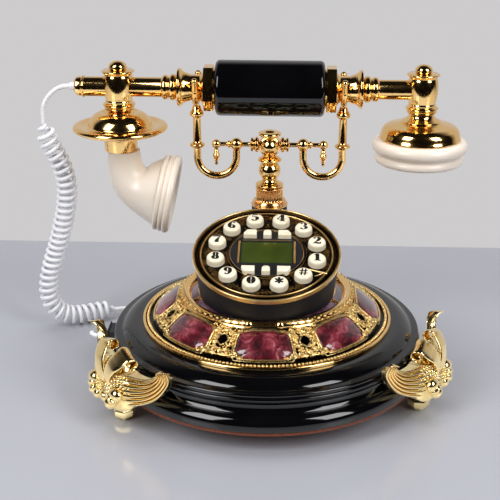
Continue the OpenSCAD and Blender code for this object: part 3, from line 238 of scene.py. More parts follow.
def solder_mask():
    """Green solder mask over fibreglass, with the copper's tracks as faint ridges."""
    material, tree, place = new_tree("solder_mask")
    tracks = add(tree, "ShaderNodeTexBrick", {"Vector": place, "Scale": 60.0, "Mortar Size": 0.03}).outputs["Fac"]
    return close(
        material,
        tree,
        Base_Color=ramp(tree, tracks, [(0.0, "#0E4A2A"), (1.0, "#1C6B3D")]),
        Roughness=0.4,
        Normal=bump(tree, tracks, 0.03),
    )


RED = [(0.2, "#24080E"), (0.42, "#4C0F1A"), (0.56, "#6C1D29"), (0.7, "#903C47"), (0.88, "#C48C8C")]
PURPLE = [(0.25, "#2E1422"), (0.5, "#573044"), (0.75, "#805C6C")]
# Cast gold tints by the shape's pointiness: painted shade, dark brown, in hollows and creases, and a painted highlight
# on crests.
CAST_SHADE_AND_HIGHLIGHT = [(0.4, "#6A3C0E"), (0.46, "#E8AC50"), (0.56, "#FFE09A")]
# Pale gold tints by the shape's pointiness: painted shade, tan, in the grooves, and a painted highlight, nearly white,
# on crests.
PALE_SHADE_AND_HIGHLIGHT = [(0.4, "#8A5E28"), (0.46, "#F0CC84"), (0.56, "#FFEAB0")]
THREAD = [(0.35, "#5E431E"), (0.65, "#B08C50")]
METAL = {"Metallic": 1.0}
GLAZED = {"Coat_Weight": 1.0, "Coat_Roughness": 0.02}
IVORY = {"Subsurface_Weight": 0.15, "Subsurface_Radius": (0.004, 0.003, 0.002)}
VINYL = {"Subsurface_Weight": 0.1, "Subsurface_Radius": (0.002, 0.002, 0.0025)}
# Each finish: its slot, its maker and what the maker takes.
FINISHES = {
    # Gold plating on polished zinc: warm mirror with a faint buffing haze that breaks its highlights.
    "gold": (
        "polished_gold", plain, "gold_plate",
        (18, 2), ("#F4C478", "#FAD28C"), (6, 3, 0.07, 0.16), (2.2, 2, 0.012), METAL,
    ),
    # Gold plating on cast relief, with a painted highlight on its crests and painted shade, dark brown, in its hollows.
    "cast": ("polished_gold", plain, "cast_gold", None, CAST_SHADE_AND_HIGHLIGHT, (3, 3, 0.2, 0.36), (0.9, 3, 0.05), METAL),
    # Light gold plating of the cast feet, with a painted highlight, nearly white, on its crests and painted shade, tan,
    # down in its grooves.
    "pale": ("polished_gold", plain, "pale_gold", None, PALE_SHADE_AND_HIGHLIGHT, (3, 3, 0.12, 0.22), None, METAL),
    # Satin gilding of the dial's thin lines: rough enough to stay light against the dark face from every side.
    "gilding": (
        "polished_gold", plain, "brushed_gilding", (6, 2), ("#F0C880", "#FADCA0"), (2, 2, 0.26, 0.36), None, METAL,
    ),
    # Rose-gold plating of the fluted sleeve: the copper in it warms every highlight.
    "copper": ("polished_gold", plain, "rose_gold", (4, 2), ("#E8AA66", "#F6C488"), (2, 2, 0.12, 0.22), None, METAL),
    # Worn gilding on fine relief: dull old gold.
    "threads": ("bronze_dial", plain, "gilt_thread", (2, 3), THREAD, (1, 2, 0.3, 0.45), None, METAL),
    # Blackened bronze, worn to a dull sheen; as the crown's ground it is also a dark sheet of painted shade in the gaps
    # of the relief.
    "bronze": (
        "bronze_dial", plain, "antique_bronze", (5, 3), ("#120D08", "#21170D"), (2, 2, 0.16, 0.28), None, METAL,
    ),
    "brocade": ("bronze_dial", bronze_brocade),
    # Black polyester lacquer, wet-sanded and buffed: a deep clean mirror.
    "lacquer": ("black_lacquer", plain, "piano_lacquer", (30, 2), ("#050506", "#09090B"), (8, 3, 0.04, 0.09)),
    # Moulded ivory ABS: a soft gloss, with light that sinks in a little.
    "ivory": (
        "ivory_plastic", plain, "ivory_abs",
        (25, 2), ("#EBDDCC", "#F2E6D8"), (5, 2, 0.26, 0.34), (1.5, 2, 0.01), IVORY,
    ),
    # Moulded cream key plastic, worn smooth on top.
    "keys": (
        "ivory_keys", plain, "key_plastic", (6, 2), ("#EBDFC2", "#F3EAD3"), (2, 2, 0.22, 0.32), (0.8, 2, 0.008),
    ),
    "red": ("red_enamel", vitreous_enamel, "red_enamel", RED, 9),
    "purple": ("purple_enamel", vitreous_enamel, "purple_enamel", PURPLE, 7),
    # Injection-moulded black plastic with a fine spark-eroded grain.
    "black": (
        "inner_black", plain, "satin_black", (12, 2), ("#101217", "#171A21"), (1, 2, 0.38, 0.5), (0.5, 2, 0.01),
    ),
    # Blue-black satin enamel of the dial's drum: a faint cool sheen, so that it parts from the warm gold round it.
    "drum": (
        "inner_black", plain, "drum_paint",
        (14, 2), ("#0C1018", "#141A24"), (3, 2, 0.5, 0.6), None, {"Specular_IOR_Level": 0.3},
    ),
    # Black pad-printed ink, matt and slightly raised.
    "ink": ("inner_black", plain, "key_ink", (2, 2), ("#0C0B0B", "#141313"), 0.5),
    # Unlit reflective liquid crystal under glass: olive ground, a shade lighter in soft patches.
    "display": ("green_display", plain, "liquid_crystal", (14, 1), ("#2A3608", "#38460F"), 0.3, None, GLAZED),
    # Brown tempered fibre board: pressed fibres with a sawn edge.
    "board": ("brown_board", plain, "fibre_board", (1.4, 4, 1.0), ("#5E2A14", "#8A4522"), 0.6, (1.4, 4, 1.0, 0.1)),
    # Soft white vinyl cord sheath: satin, with a faint bluish cast in its depth.
    "cord": (
        "cord_white", plain, "cord_vinyl",
        (10, 2), ("#EDEDF2", "#F6F6F8"), (2, 2, 0.34, 0.44), (0.7, 2, 0.006), VINYL,
    ),
    # Drawn steel wire and zinc-plated screws: cool, fine draw lines.
    "steel": ("steel", plain, "spring_steel", (3, 2), ("#9A9CA2", "#C2C4C9"), (0.8, 2, 0.22, 0.36), None, METAL),
    "circuit": ("circuit_green", solder_mask),
}
made = {}


def finish_of(name):
    """The material of that name, made on its first use."""
    if name not in made:
        maker, *details = FINISHES[name][1:]
        made[name] = maker(*details)
    return made[name]


def paint(finish, *nodes):
    """Gives CAD nodes a finish."""
    for node in nodes:
        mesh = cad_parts[node].data
        mesh.materials.clear()
        mesh.materials.append(finish_of(finish))


# ---------- surfaces ----------


def sheet(points, wrap_rows=False, wrap_columns=True):
    """Points (rows, columns, 3) as a shell: each cell of the grid is one four-sided face."""
    rows, columns = points.shape[:2]
    i, j = np.meshgrid(
        np.arange(rows if wrap_rows else rows - 1),
        np.arange(columns if wrap_columns else columns - 1),
        indexing="ij",
    )
    down, across = (i + 1) % rows, (j + 1) % columns
    faces = np.stack(
        [i * columns + j, i * columns + across, down * columns + across, down * columns + j], -1
    )
    return points.reshape(-1, 3), faces.reshape(-1, 4)


def around(count):
    """Angles spread evenly round a circle."""
    return np.linspace(0, 2 * np.pi, count, endpoint=False)


def polar(radius, angle, height):
    """Points (r sin a, -r cos a, h), with a = 0 towards the user."""
    return np.stack([radius * np.sin(angle), -radius * np.cos(angle), height + 0 * angle], -1)


def arc(x, y, radius, start, end, count=10):
    """Points (x + r cos a, y + r sin a), for a from start to end in degrees."""
    a = np.radians(np.linspace(start, end, count))
    return np.stack([x + radius * np.cos(a), y + radius * np.sin(a)], 1)


def softened(profile, cut=0.25):
    """Cuts each corner of a profile: a point becomes two, cut or a third of an edge away on either side."""
    p = np.vstack([np.atleast_2d(np.asarray(part, float)) for part in profile])
    edge = np.diff(p, axis=0)
    length = np.maximum(np.linalg.norm(edge, axis=1, keepdims=True), 1e-9)
    step = np.minimum(cut, length / 3) * edge / length
    return np.vstack([p[:1], np.stack([p[:-1] + step, p[1:] - step], 1).reshape(-1, 2), p[-1:]])


def lathe(profile, sides=128, cut=0.25):
    """A profile of (radius, height) turned about Z: (r cos a, r sin a, h)."""
    p = softened([softened(profile, cut)], cut / 3) if cut else np.vstack(profile)
    a = around(sides)
    r, h = p[:, :1], p[:, 1:]
    return sheet(np.stack([r * np.cos(a), r * np.sin(a), h + 0 * a], -1))


AXES = {
    "Z": np.eye(3),
    "X": np.array([[0, 0, 1], [1, 0, 0], [0, 1, 0]], float),
    "-X": np.array([[0, 0, -1], [-1, 0, 0], [0, 1, 0]], float),
    "-Y": np.array([[1, 0, 0], [0, 0, -1], [0, 1, 0]], float),
}


def turn(degrees, axis="Z"):
    """Rotation matrix about a row axis."""
    return np.array(Euler([math.radians(degrees) if a == axis else 0 for a in "XYZ"]).to_matrix())


def moved(shell, origin=(0, 0, 0), axes="Z"):
    """A shell carried by p -> M p + origin, where M's columns are the local axes."""
    matrix = AXES[axes] if isinstance(axes, str) else np.asarray(axes)
    return shell[0] @ matrix.T + np.asarray(origin, float), shell[1]


def tangents(path):
    """Unit direction along a path at each point: the difference of its neighbours."""
    d = np.gradient(path, axis=0)
    return d / np.linalg.norm(d, axis=1, keepdims=True)


def capped(grid, tips=None):
    """Rings as a closed shell: each end is drawn in to a tip, or to its own ring's middle."""
    ends = [np.broadcast_to(grid[k].mean(0) if tips is None else tips[k], (1, *grid.shape[1:])) for k in (0, -1)]
    return sheet(np.concatenate([ends[0], grid, ends[1]]))


def tube(path, radius, sides=12, up=(0.13, 0.2, 1.0), flat=1.0, closed=False):
    """A ring of radius r round each point of a path: c + r (A cos a + flat B sin a), closed at its ends."""
    path = np.asarray(path, float)
    t = tangents(path)
    if closed:
        d = np.roll(path, -1, 0) - np.roll(path, 1, 0)
        t = d / np.linalg.norm(d, axis=1, keepdims=True)
    side = np.cross(t, np.broadcast_to(np.asarray(up, float), t.shape))
    side /= np.linalg.norm(side, axis=1, keepdims=True)
    lift = np.cross(side, t)
    a = around(sides)
    r = np.broadcast_to(np.asarray(radius, float), (len(path),))[:, None, None]
    grid = path[:, None] + r * (side[:, None] * np.cos(a)[:, None] + flat * lift[:, None] * np.sin(a)[:, None])
    if closed:
        return sheet(grid, wrap_rows=True)
    return capped(grid, path)


def smooth_path(points, count):
    """Catmull-Rom curve through points: 0.5 (2b + (c-a)f + (2a-5b+4c-d)f^2 + (3b-a-3c+d)f^3)."""
    p = np.asarray(points, float)
    padded = np.vstack([2 * p[0] - p[1], p, 2 * p[-1] - p[-2]])
    u = np.linspace(0, len(p) - 1, count)
    i = np.minimum(u.astype(int), len(p) - 2)
    f = (u - i)[:, None]
    a, b, c, d = (padded[i + k] for k in range(4))
    return 0.5 * (2 * b + (c - a) * f + (2 * a - 5 * b + 4 * c - d) * f**2 + (3 * b - a - 3 * c + d) * f**3)


def evenly(points, count):
    """The same line, with its points spread evenly by length."""
    points = np.asarray(points, float)
    s = np.concatenate([[0], np.cumsum(np.linalg.norm(np.diff(points, axis=0), axis=1))])
    at = np.linspace(0, s[-1], count)
    return np.stack([np.interp(at, s, points[:, k]) for k in range(points.shape[1])], 1)


def closed_line(points, count):
    """A closed line through points, as count points spread evenly by length."""
    points = np.asarray(points, float)
    return evenly(np.vstack([points, points[:1]]), count + 1)[:-1]


def raised(line, height):
    """A flat line at a height."""
    line = np.asarray(line, float)
    return np.column_stack([line, np.full(len(line), height)])


def stacked(line, levels):
    """A flat closed line carried through levels of (scale, height)."""
    return sheet(np.array([raised(line * scale, z) for scale, z in levels]))


def wire(line, radius, lift=0.35, sides=10, closed=False):
    """A round wire along a flat line, lift above its plane."""
    return tube(raised(line, lift), radius, sides, (0, 0, 1), closed=closed)


def spun(degrees):
    """What turns flat points about the origin, as p @ spun(degrees)."""
    c, s = math.cos(math.radians(degrees)), math.sin(math.radians(degrees))
    return np.array([[c, s], [-s, c]])


def bead(radius=1.0, sides=8, rings=5):
    """A low ball: (sin b cos a, sin b sin a, cos b)."""
    b = np.linspace(0, np.pi, rings + 1)[:, None]
    a = around(sides)
    grid = np.stack([np.sin(b) * np.cos(a), np.sin(b) * np.sin(a), np.cos(b) + 0 * a], -1)
    return sheet(grid * radius)


def scattered(shell, places, sizes=1.0):
    """Copies of a shell at many places, each scaled by its size: one array of points, one of faces."""
    points, faces = shell
    places = np.asarray(places, float)
    sizes = np.broadcast_to(np.asarray(sizes, float), (len(places),))
    out = places[:, None] + points[None] * sizes[:, None, None]
    index = faces[None] + (np.arange(len(places)) * len(points))[:, None, None]
    return out.reshape(-1, 3), index.reshape(-1, faces.shape[1])


def piece(name, shells, finish, body, replaces=(), sharp=38, uv=None):
    """Joins shells in millimetres into one mesh in metres, closes its poles and points its faces outwards."""
    offset, points, faces = 0, [], []
    for shell_points, shell_faces in shells:
        points.append(shell_points)
        faces.extend((shell_faces + offset).tolist())
        offset += len(shell_points)
    mesh = bpy.data.meshes.new(name)
    mesh.from_pydata(np.concatenate(points) * MM, [], faces)
    work = bmesh.new()
    work.from_mesh(mesh)
    bmesh.ops.remove_doubles(work, verts=work.verts, dist=2e-6)
    bmesh.ops.dissolve_degenerate(work, edges=work.edges, dist=1e-7)
    bmesh.ops.recalc_face_normals(work, faces=work.faces)
    work.to_mesh(mesh)
    work.free()
    mesh.shade_smooth()
    mesh.set_sharp_from_angle(angle=math.radians(sharp))
    mesh.materials.append(finish_of(finish))
    thing = bpy.data.objects.new(name, mesh)
    bpy.context.collection.objects.link(thing)
    if body:
        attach(thing, body)
    if replaces:
        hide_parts(*replaces)
    return thing


# ---------- settings of the add-on ----------


class TelephoneCord(bpy.types.PropertyGroup):
    """The curly cord's own sizes."""

    thickness: bpy.props.FloatProperty(
        name="Thickness", description="Diameter of the cord's sheath", default=0.0028, unit="LENGTH"
    )
    curl: bpy.props.FloatProperty(
        name="Curl radius", description="From a curl's middle to the sheath's", default=0.0052, unit="LENGTH"
    )
    curls: bpy.props.IntProperty(name="Curls", description="Number of curls in the cord", default=39)


class TelephoneGilding(bpy.types.PropertyGroup):
    """How fine the gold relief is."""

    beads: bpy.props.IntProperty(
        name="Beads", description="Number of beads in the crown's outer row", default=204
    )
    digit_height: bpy.props.FloatProperty(
        name="Digit height", description="Height of a key's digit", default=0.0067, unit="LENGTH"
    )


class TelephoneStudio(bpy.types.PropertyGroup):
    """The camera and the room."""

    lens: bpy.props.FloatProperty(
        name="Lens", description="Focal length on a 36 mm sensor, in millimetres", default=75.7
    )
    backdrop: bpy.props.FloatVectorProperty(
        name="Backdrop",
        description="Colour that the camera sees behind the object",
        size=3,
        subtype="COLOR",
        default=(0.612, 0.6, 0.604),
    )


# ---------- the stage ----------

# The camera: its reach from the base's axis and its height in millimetres, its turns in degrees, its shift.
CAMERA_REACH, CAMERA_HEIGHT = 593.05, 311.7
CAMERA_TURN, CAMERA_PITCH, CAMERA_ROLL = 1.6, 21.06, -0.35
CAMERA_SHIFT = -0.0392
FLOOR_SIDE, FLOOR_FRONT, FLOOR_BACK = 3, -0.3, 0.222


class TELEPHONE_OT_stage(bpy.types.Operator):
    """Sets the camera, the floor, the lights and the world"""

    bl_idname = "telephone.stage"
    bl_label = "Stage"

    def execute(self, context):
        scene = context.scene
        studio = scene.telephone_studio
        eye, pitch = math.radians(CAMERA_TURN), math.radians(CAMERA_PITCH)
        lens = bpy.data.cameras.new("camera")
        lens.lens = studio.lens
        lens.shift_x = CAMERA_SHIFT
        lens.clip_end = 20
        camera = bpy.data.objects.new("camera", lens)
        camera.location = (
            CAMERA_REACH * MM * math.sin(eye),
            BASE_Y * MM - CAMERA_REACH * MM * math.cos(eye),
            CAMERA_HEIGHT * MM,
        )
        camera.rotation_euler = Euler((math.pi / 2 - pitch, math.radians(CAMERA_ROLL), eye))
        scene.collection.objects.link(camera)
        scene.camera = camera
        scene.view_settings.view_transform = "Standard"

        mesh = bpy.data.meshes.new("floor")
        corners = [(-1, FLOOR_FRONT), (1, FLOOR_FRONT), (1, FLOOR_BACK), (-1, FLOOR_BACK)]
        mesh.from_pydata([(side * FLOOR_SIDE, y, 0) for side, y in corners], [], [(0, 1, 2, 3)])
        floor = bpy.data.objects.new("floor", mesh)
        scene.collection.objects.link(floor)
        material, tree, place = new_tree("floor_sheet")
        glossy = add(tree, "ShaderNodeLightPath").outputs["Is Glossy Ray"]
        sheet_colour = mix(tree, glossy, colour("#A9AAB1"), colour("#DADCE2"))
        clouds = spread(tree, noise(tree, place, 300, 2), 0.96, 1.0)
        tint = mix(tree, 1.0, sheet_colour, clouds, blend_type="MULTIPLY")
        mesh.materials.append(
            close(material, tree, Base_Color=tint, Roughness=spread(tree, noise(tree, place, 40, 2), 0.16, 0.22))
        )

        for name, spot, aim, size, power in (
            ("key_left", (-0.75, -0.75, 0.85), (0, 0, 0.09), (0.5, 0.9), 11.5),
            ("key_right", (0.8, -0.65, 0.8), (0, 0, 0.09), (0.45, 0.8), 9.0),
            ("top", (0.0, 0.1, 1.25), (0, 0, 0.1), (1.1, 0.7), 6.0),
        ):
            light = bpy.data.lights.new(name, "AREA")
            light.shape = "RECTANGLE"
            light.size, light.size_y = size
            light.energy = power
            lamp = bpy.data.objects.new(name, light)
            lamp.location = spot
            lamp.rotation_euler = (Vector(aim) - Vector(spot)).to_track_quat("-Z", "Y").to_euler()
            lamp.visible_glossy = name != "top"
            scene.collection.objects.link(lamp)

        world = bpy.data.worlds.new("room")
        scene.world = world
        world.use_nodes = True
        tree = world.node_tree
        tree.nodes.clear()
        place = add(tree, "ShaderNodeTexCoord").outputs["Generated"]
        parts = add(tree, "ShaderNodeSeparateXYZ", {"Vector": place}).outputs
        room = ramp(
            tree,
            spread(tree, parts["Z"], 0.5, 1.0),
            [(0.3, "#626469"), (0.5, "#7E8086"), (0.56, "#393B40"), (0.75, "#A4A6AB"), (1.0, "#CED0D4")],
        )
        shade = mix(tree, spread(tree, parts["Y"], 0.0, 1.0, -1.0, 0.2), colour("#202126"), room)
        wall = (*studio.backdrop, 1.0)
        behind = spread(tree, parts["Y"], 0.0, 1.0, 0.1, 0.45)
        under = spread(tree, parts["Z"], 0.0, 1.0, 0.85, 0.6)
        mirror = mix(tree, maths(tree, "MULTIPLY", behind, under), colour("#100F11"), wall)
        ray = add(tree, "ShaderNodeLightPath").outputs
        shiny = maths(tree, "MAXIMUM", ray["Is Glossy Ray"], ray["Is Transmission Ray"])
        seen = mix(tree, ray["Is Camera Ray"], mix(tree, shiny, shade, mirror), wall)
        ground = add(tree, "ShaderNodeBackground", {"Color": seen, "Strength": 1.0})
        add(tree, "ShaderNodeOutputWorld", {"Surface": ground.outputs["Background"]})
        return {"FINISHED"}


# ---------- the base ----------


def rings_of(count, radius, height):
    """Places spread evenly round the base's axis, the first towards the user."""
    return polar(radius, around(count), height) + BASE


class TELEPHONE_OT_base(bpy.types.Operator):
    """Makes the lacquered plinth, its board and its screws"""

    bl_idname = "telephone.base"
    bl_label = "Base"

    def execute(self, context):
        r, z = PLINTH_R, low("plinth")[2]
        top = high("plinth")[2]
        profile = [
            [[r - 9, z + 7], [r - 5, z + 6], [r - 5, z], [r - 0.8, z], [r, z + 0.8]],
            arc(r - 6.4, z + 2.8, 6.4, 0, 74, 24),
            [[r - 4.9, z + 9.1]],
            arc(r - 1.6, z + 13.2, 5, 228, 135, 16),
            [[r - 4.2, z + 17]],
            arc(r - 4.9, z + 18.1, 0.9, -50, 90, 10),
            arc(r - 5.8, z + 20.4, 1.2, -70, 80, 12),
            [[r - 8.4, z + 21.8]],
            arc(r - 18, top - 11, 11, 37, 90, 22),
            [[r - 24, top], [CROWN_R - 6, top], [CROWN_R - 8, top - 3]],
        ]
        body = moved(lathe(profile, 256, 0.2), BASE)
        piece("lacquered_plinth", [body], "lacquer", "base", ["plinth"])
        board = low("bottom_board")[2]
        edge = [[[0, 0], [r - 1.3, 0], [r - 1, 0.3], [r - 1, 1.7], [r - 1.3, 2], [0, 2]]]
        disc = moved(lathe(edge, 192, 0.1), (0, BASE_Y, board))
        piece("fibre_bottom", [disc], "board", "base", ["bottom_board"])
        screw = lathe([[[0.0, 0.4], [0.5, 0.4], [0.6, 0], [2.4, 0], [3, 0.2], [1.5, 1.4], [1.5, 6], [0, 6]]], 24, 0.05)
        places = rings_of(6, r - 11.5, board)
        piece("screw_heads", [scattered(screw, places)], "steel", "base", ["base_screws"])
        return {"FINISHED"}


# ---------- the crown ----------

BAND_LOW = (69.5, 43.3)
BAND_HIGH = (52.8, 56.3)
BAND_SLOPE = math.atan2(BAND_HIGH[1] - BAND_LOW[1], BAND_LOW[0] - BAND_HIGH[0])
BAND_MID = (BAND_LOW[0] + BAND_HIGH[0]) / 2
PANELS = 8
PANEL_STEP = 360 / PANELS
RING_TUBE = 3.0
RING_MID = BAND_HIGH[0] - RING_TUBE
RING_HALF_GAP = math.asin(9 / RING_MID)


def on_band(points, angle=0.0):
    """Carries (across, up the slope, out of it) in millimetres onto the crown's cone at an angle in degrees.

    The middle of the slope is up = 0; across is laid round the cone at its own radius, so
    r = middle - up cos s + out sin s, z = middle + up sin s + out cos s, and the angle grows by across / middle."""
    u, v, h = np.moveaxis(np.asarray(points, float), -1, 0)
    r = BAND_MID - v * math.cos(BAND_SLOPE) + h * math.sin(BAND_SLOPE)
    z = (BAND_LOW[1] + BAND_HIGH[1]) / 2 + v * math.sin(BAND_SLOPE) + h * math.cos(BAND_SLOPE)
    a = math.radians(angle) + u / BAND_MID
    return polar(r, a, z) + BASE


def carried(shell, angle):
    """A shell drawn on the flat band, laid on the cone at an angle."""
    return on_band(shell[0], angle), shell[1]


def spiral(turns, start_r, end_r, count=40, hand=1):
    """Flat spiral: radius from start to end while the angle makes its turns; hand is its sense."""
    t = np.linspace(0, 1, count)
    r = start_r + (end_r - start_r) * t
    a = 2 * np.pi * turns * t
    return np.stack([r * np.cos(a), hand * r * np.sin(a)], 1)


def leaf(start, end, width, height, bend=0.0, lobes=5, steps=26):
    """A pointed acanthus leaf on the flat band, with a ridge down its middle and lobed edges.

    Its half width is width sin(pi t^0.8) (1 + 0.28 |sin(lobes pi t)|); it rises to height on the ridge
    and falls as the cosine of its way across, and bows sideways by bend times 4 t (1 - t)."""
    t = np.linspace(0.0, 1.0, steps)
    s = np.linspace(-1, 1, 9)
    start, end = np.asarray(start, float), np.asarray(end, float)
    along = end - start
    side = np.array([-along[1], along[0]]) / np.linalg.norm(along)
    half = width * np.sin(np.pi * t**0.8) * (1 + 0.28 * np.abs(np.sin(lobes * np.pi * t)))
    middle = start + along * t[:, None] + side * (bend * 4 * t * (1 - t))[:, None]
    flat = middle[:, None] + side * (half[:, None] * s)[..., None]
    rise = height * np.cos(s * np.pi / 2) ** 0.7 * np.sin(np.pi * np.clip(t * 0.92 + 0.06, 0, 1))[:, None]
    rise -= 0.16 * height * (np.abs(s) < 0.05) * np.ones_like(rise)
    return sheet(np.concatenate([flat, (rise - 0.2)[..., None]], -1), wrap_columns=False)


def panel_edge(grow, count=14):
    """Half outline of an enamel panel on the flat band, from its outer middle to its inner middle.

    Outer side straight, a notch of radius 3.4 in the outer corner, a straight side, a shoulder
    rounded with radius 4.6 and a short level step before the raised middle of the inner side."""
    w, out, inner = 15.9 + grow, -9.7 - grow, 8.5 + grow
    notch = arc(w + 0.4, out - 0.4, 3.4 - grow, 175, 95, count)
    shoulder = arc(w - 4.6, inner - 5.6, 4.6, 0, 88, count)
    top = [[8.6 + grow * 0.4, inner - 0.6], [7.4 + grow * 0.4, inner]]
    return np.vstack([[[0.0, out]], notch, shoulder, top, [[0.0, inner + 0.2]]])


def full_outline(grow, count=120):
    """Whole outline of a panel, with its points spread evenly."""
    half = panel_edge(grow)
    return closed_line(np.vstack([half, half[::-1][1:-1] * [-1, 1]]), count)


def cabochon(angle):
    """A domed enamel: rings from its outline to its middle, each k of the way in, 2 (1 - (1 - k)^2.4)^0.5 high."""
    outline = full_outline(-0.15)
    k = np.linspace(0, 1, 14)
    middle = np.array([0.0, -0.2])
    grid = outline[None] + (middle - outline)[None] * k[:, None, None]
    rise = -0.5 + 2.2 * np.sqrt(1 - (1 - k) ** 2.4)
    skirt = raised(outline, -1.4)[None]
    rings = np.concatenate([grid, np.broadcast_to(rise[:, None, None], (*grid.shape[:2], 1))], -1)
    return carried(sheet(np.concatenate([skirt, rings])), angle)


# Leaves on one side of the foliage: foot x and y, tip x and y, half width, height and bow.
LEAVES = [
    (3.6, -3.4, 8.0, -0.4, 1.25, 1.1, 0.9),
    (3.4, 1.6, 7.6, 4.6, 1.15, 1.1, -0.7),
    (4.2, -0.9, 7.0, 2.4, 0.9, 1.0, 0.3),
    (0.9, -5.2, 5.4, -4.0, 0.8, 0.9, -0.5),
    (3.9, 4.8, 9.6, 8.4, 1.35, 1.2, -1.2),
    (6.4, 5.0, 11.2, 6.4, 1.0, 1.0, 0.8),
    (5.2, -9.4, 9.4, -8.8, 0.9, 1.2, 0.6),
    (1.2, 8.6, 5.6, 9.6, 0.8, 1.1, 0.3),
]


def foliage(angle, seed):
    """Cast foliage between two panels: scrolls, leaves and beads round a bare diamond, where the dark ground under them
    shows as painted shade.
    """
    rng = np.random.default_rng(seed)
    shells = []
    w = 3.9
    frame_line = np.array([[0, -w], [w * 0.86, 0], [0, w], [-w * 0.86, 0]], float) + [0, 0.4]
    frame_line = smooth_path(np.vstack([frame_line, frame_line[:1]]), 41)
    shells.append(wire(frame_line, 0.42, 0.6, 8))
    for s in (-1, 1):
        eye = spiral(1.4, 2.1, 0.5, 36, s) * [s, 1] + [s * 3.2, -6.9]
        shells.append(wire(eye, np.linspace(0.62, 0.34, len(eye)), 0.6))
        stem = smooth_path([[s * 1.0, -8.8], [s * 4.6, -9.0], [s * 7.2, -7.6], [s * 8.2, -4.6], [s * 7.4, -1.6]], 30)
        shells.append(wire(stem, np.linspace(0.5, 0.3, 30), 0.45))
        high_eye = spiral(1.3, 1.7, 0.4, 32, -s) * [s, 1] + [s * 2.7, 6.6]
        shells.append(wire(high_eye, np.linspace(0.5, 0.3, 32), 0.6))
        for x, y, tip_x, tip_y, width, height, bow in LEAVES:
            shells.append(leaf([s * x, y], [s * tip_x, tip_y], width, height, s * bow))
    spots = rng.uniform([-10.5, -9.6], [10.5, 9.4], (260, 2))
    reach = 5.0 + 0.045 * spots[:, 1] ** 2 + 2.2 * np.clip(spots[:, 1] / 9, 0, 1)
    free = (np.abs(spots[:, 0]) < reach) & (np.abs(spots[:, 0]) / 3.6 + np.abs(spots[:, 1] - 0.4) / 4.4 > 1.1)
    spots = spots[free]
    shells.append(scattered(bead(), raised(spots, 0.15), 0.62))
    shells.append(leaf([0, 4.9], [0, 9.4], 1.2, 1.3))
    shells.append(leaf([0, -4.0], [0, -8.6], 1.0, 1.1))
    spots = np.column_stack([rng.uniform(-9.2, 9.2, 60), rng.uniform(-9.4, 9.4, 60), rng.uniform(0.15, 0.6, 60)])
    clear = (np.abs(spots[:, 0]) / 0.86 + np.abs(spots[:, 1] - 0.4)) > 4.6
    room = np.abs(spots[:, 0]) < 7.0 + 0.25 * spots[:, 1]
    shells.append(scattered(bead(), spots[clear & room], rng.uniform(0.28, 0.62, (clear & room).sum())))
    return [carried(shell, angle) for shell in shells]


class TELEPHONE_OT_crown(bpy.types.Operator):
    """Makes the gold crown, its beads and foliage, and its enamels"""

    bl_idname = "telephone.crown"
    bl_label = "Crown"

    def execute(self, context):
        beads = context.scene.telephone_gilding.beads
        rim = high("plinth")[2]
        (low_r, low_z), (high_r, high_z) = BAND_LOW, BAND_HIGH
        rim_profile = [
            [[CROWN_R - 8, rim - 0.5], [CROWN_R - 6, rim + 0.02], [CROWN_R, rim + 0.02], [CROWN_R, rim + 0.6]],
            arc(CROWN_R - 1.1, rim + 1.1, 1.1, 5, 120, 10),
            [[CROWN_R - 2.1, rim + 1.2], [CROWN_R - 2.2, rim + 0.4], [low_r - 3, rim + 0.4]],
        ]
        gold = [moved(lathe(rim_profile, 256, 0.12), BASE)]
        places = rings_of(beads, CROWN_R - 3.3, rim + 1.9)
        cast = [scattered(bead(1.0, 12, 7), places, 1.0)]
        # A dark bronze ground under the rim's beads and the band's relief: painted shade, so that the gaps between them
        # read dark.
        ground = [
            [[CROWN_R - 2, rim + 0.9], [low_r + 0.4, rim + 0.9], [low_r, low_z - 0.5], [high_r - 1, high_z - 0.75]],
        ]
        piece("crown_shade_ground", [moved(lathe(ground, 256, 0), BASE)], "bronze", "base")
        for k in range(PANELS):
            cast.append(carried(wire(full_outline(0.1), 0.55, 0.25, 8, True), PANEL_STEP * k))
            cast.append(carried(wire(full_outline(1.1), 0.3, -0.15, 6, True), PANEL_STEP * k))
            for s in (-1, 1):
                eye = spiral(1.6, 1.75, 0.35, 40, -s) * [s, 1] + [s * 15.2, -8.0]
                cast.append(carried(wire(eye, np.linspace(0.75, 0.4, 40), 0.5), PANEL_STEP * k))
                cast.append(carried(leaf([s * 13.2, -8.9], [s * 9.6, -8.7], 0.75, 1.2), PANEL_STEP * k))
            cast.extend(foliage(PANEL_STEP * (k + 0.5), k))
        cast.extend(ring_relief())
        piece("crown_relief", cast, "cast", "base", sharp=60)
        tier = high_z + 2.3
        angles = np.linspace(RING_HALF_GAP, 2 * np.pi - RING_HALF_GAP, 361)
        gold.append(tube(polar(RING_MID, angles, high_z) + BASE, RING_TUBE, 24, (0, 0, 1)))
        ends = polar(RING_MID, np.array([-RING_HALF_GAP, RING_HALF_GAP]), high_z) + BASE
        gold.append(scattered(bead(1.0, 32, 20), ends, RING_TUBE + 0.4))
        tier_profile = [
            [[high_r + 0.5, high_z - 0.8], [high_r - 0.1, high_z + 0.1], [high_r - 0.5, high_z + 0.8]],
            [[high_r - 1.8, high_z + 1], [high_r - 2.2, high_z + 1.9], [high_r - 3.8, high_z + 2.1]],
            [[high_r - 5.7, high_z - 0.5], [high_r - 6, high_z - 0.5], [42, high_z + 1.1], [42, tier], [30, tier]],
        ]
        gold.append(moved(lathe(tier_profile, 192, 0.15), BASE))
        t = np.linspace(0, 1, 8)
        r = high_r - 5.7 + (41.8 - high_r + 5.7) * t
        z = high_z + 0.9 + (tier - high_z - 0.8) * t
        for k in range(PANELS):
            rib = polar(r, math.radians(PANEL_STEP * (k + 0.5)), z) + BASE
            gold.append(tube(rib, 0.75, 10, (0, 0, 1)))
        piece("crown_gold", gold, "gold", "base", ["crown_plate"], sharp=50)
        piece("cabochons", [cabochon(PANEL_STEP * k) for k in range(PANELS)], "red", "base", ["crown_enamels"])
        return {"FINISHED"}


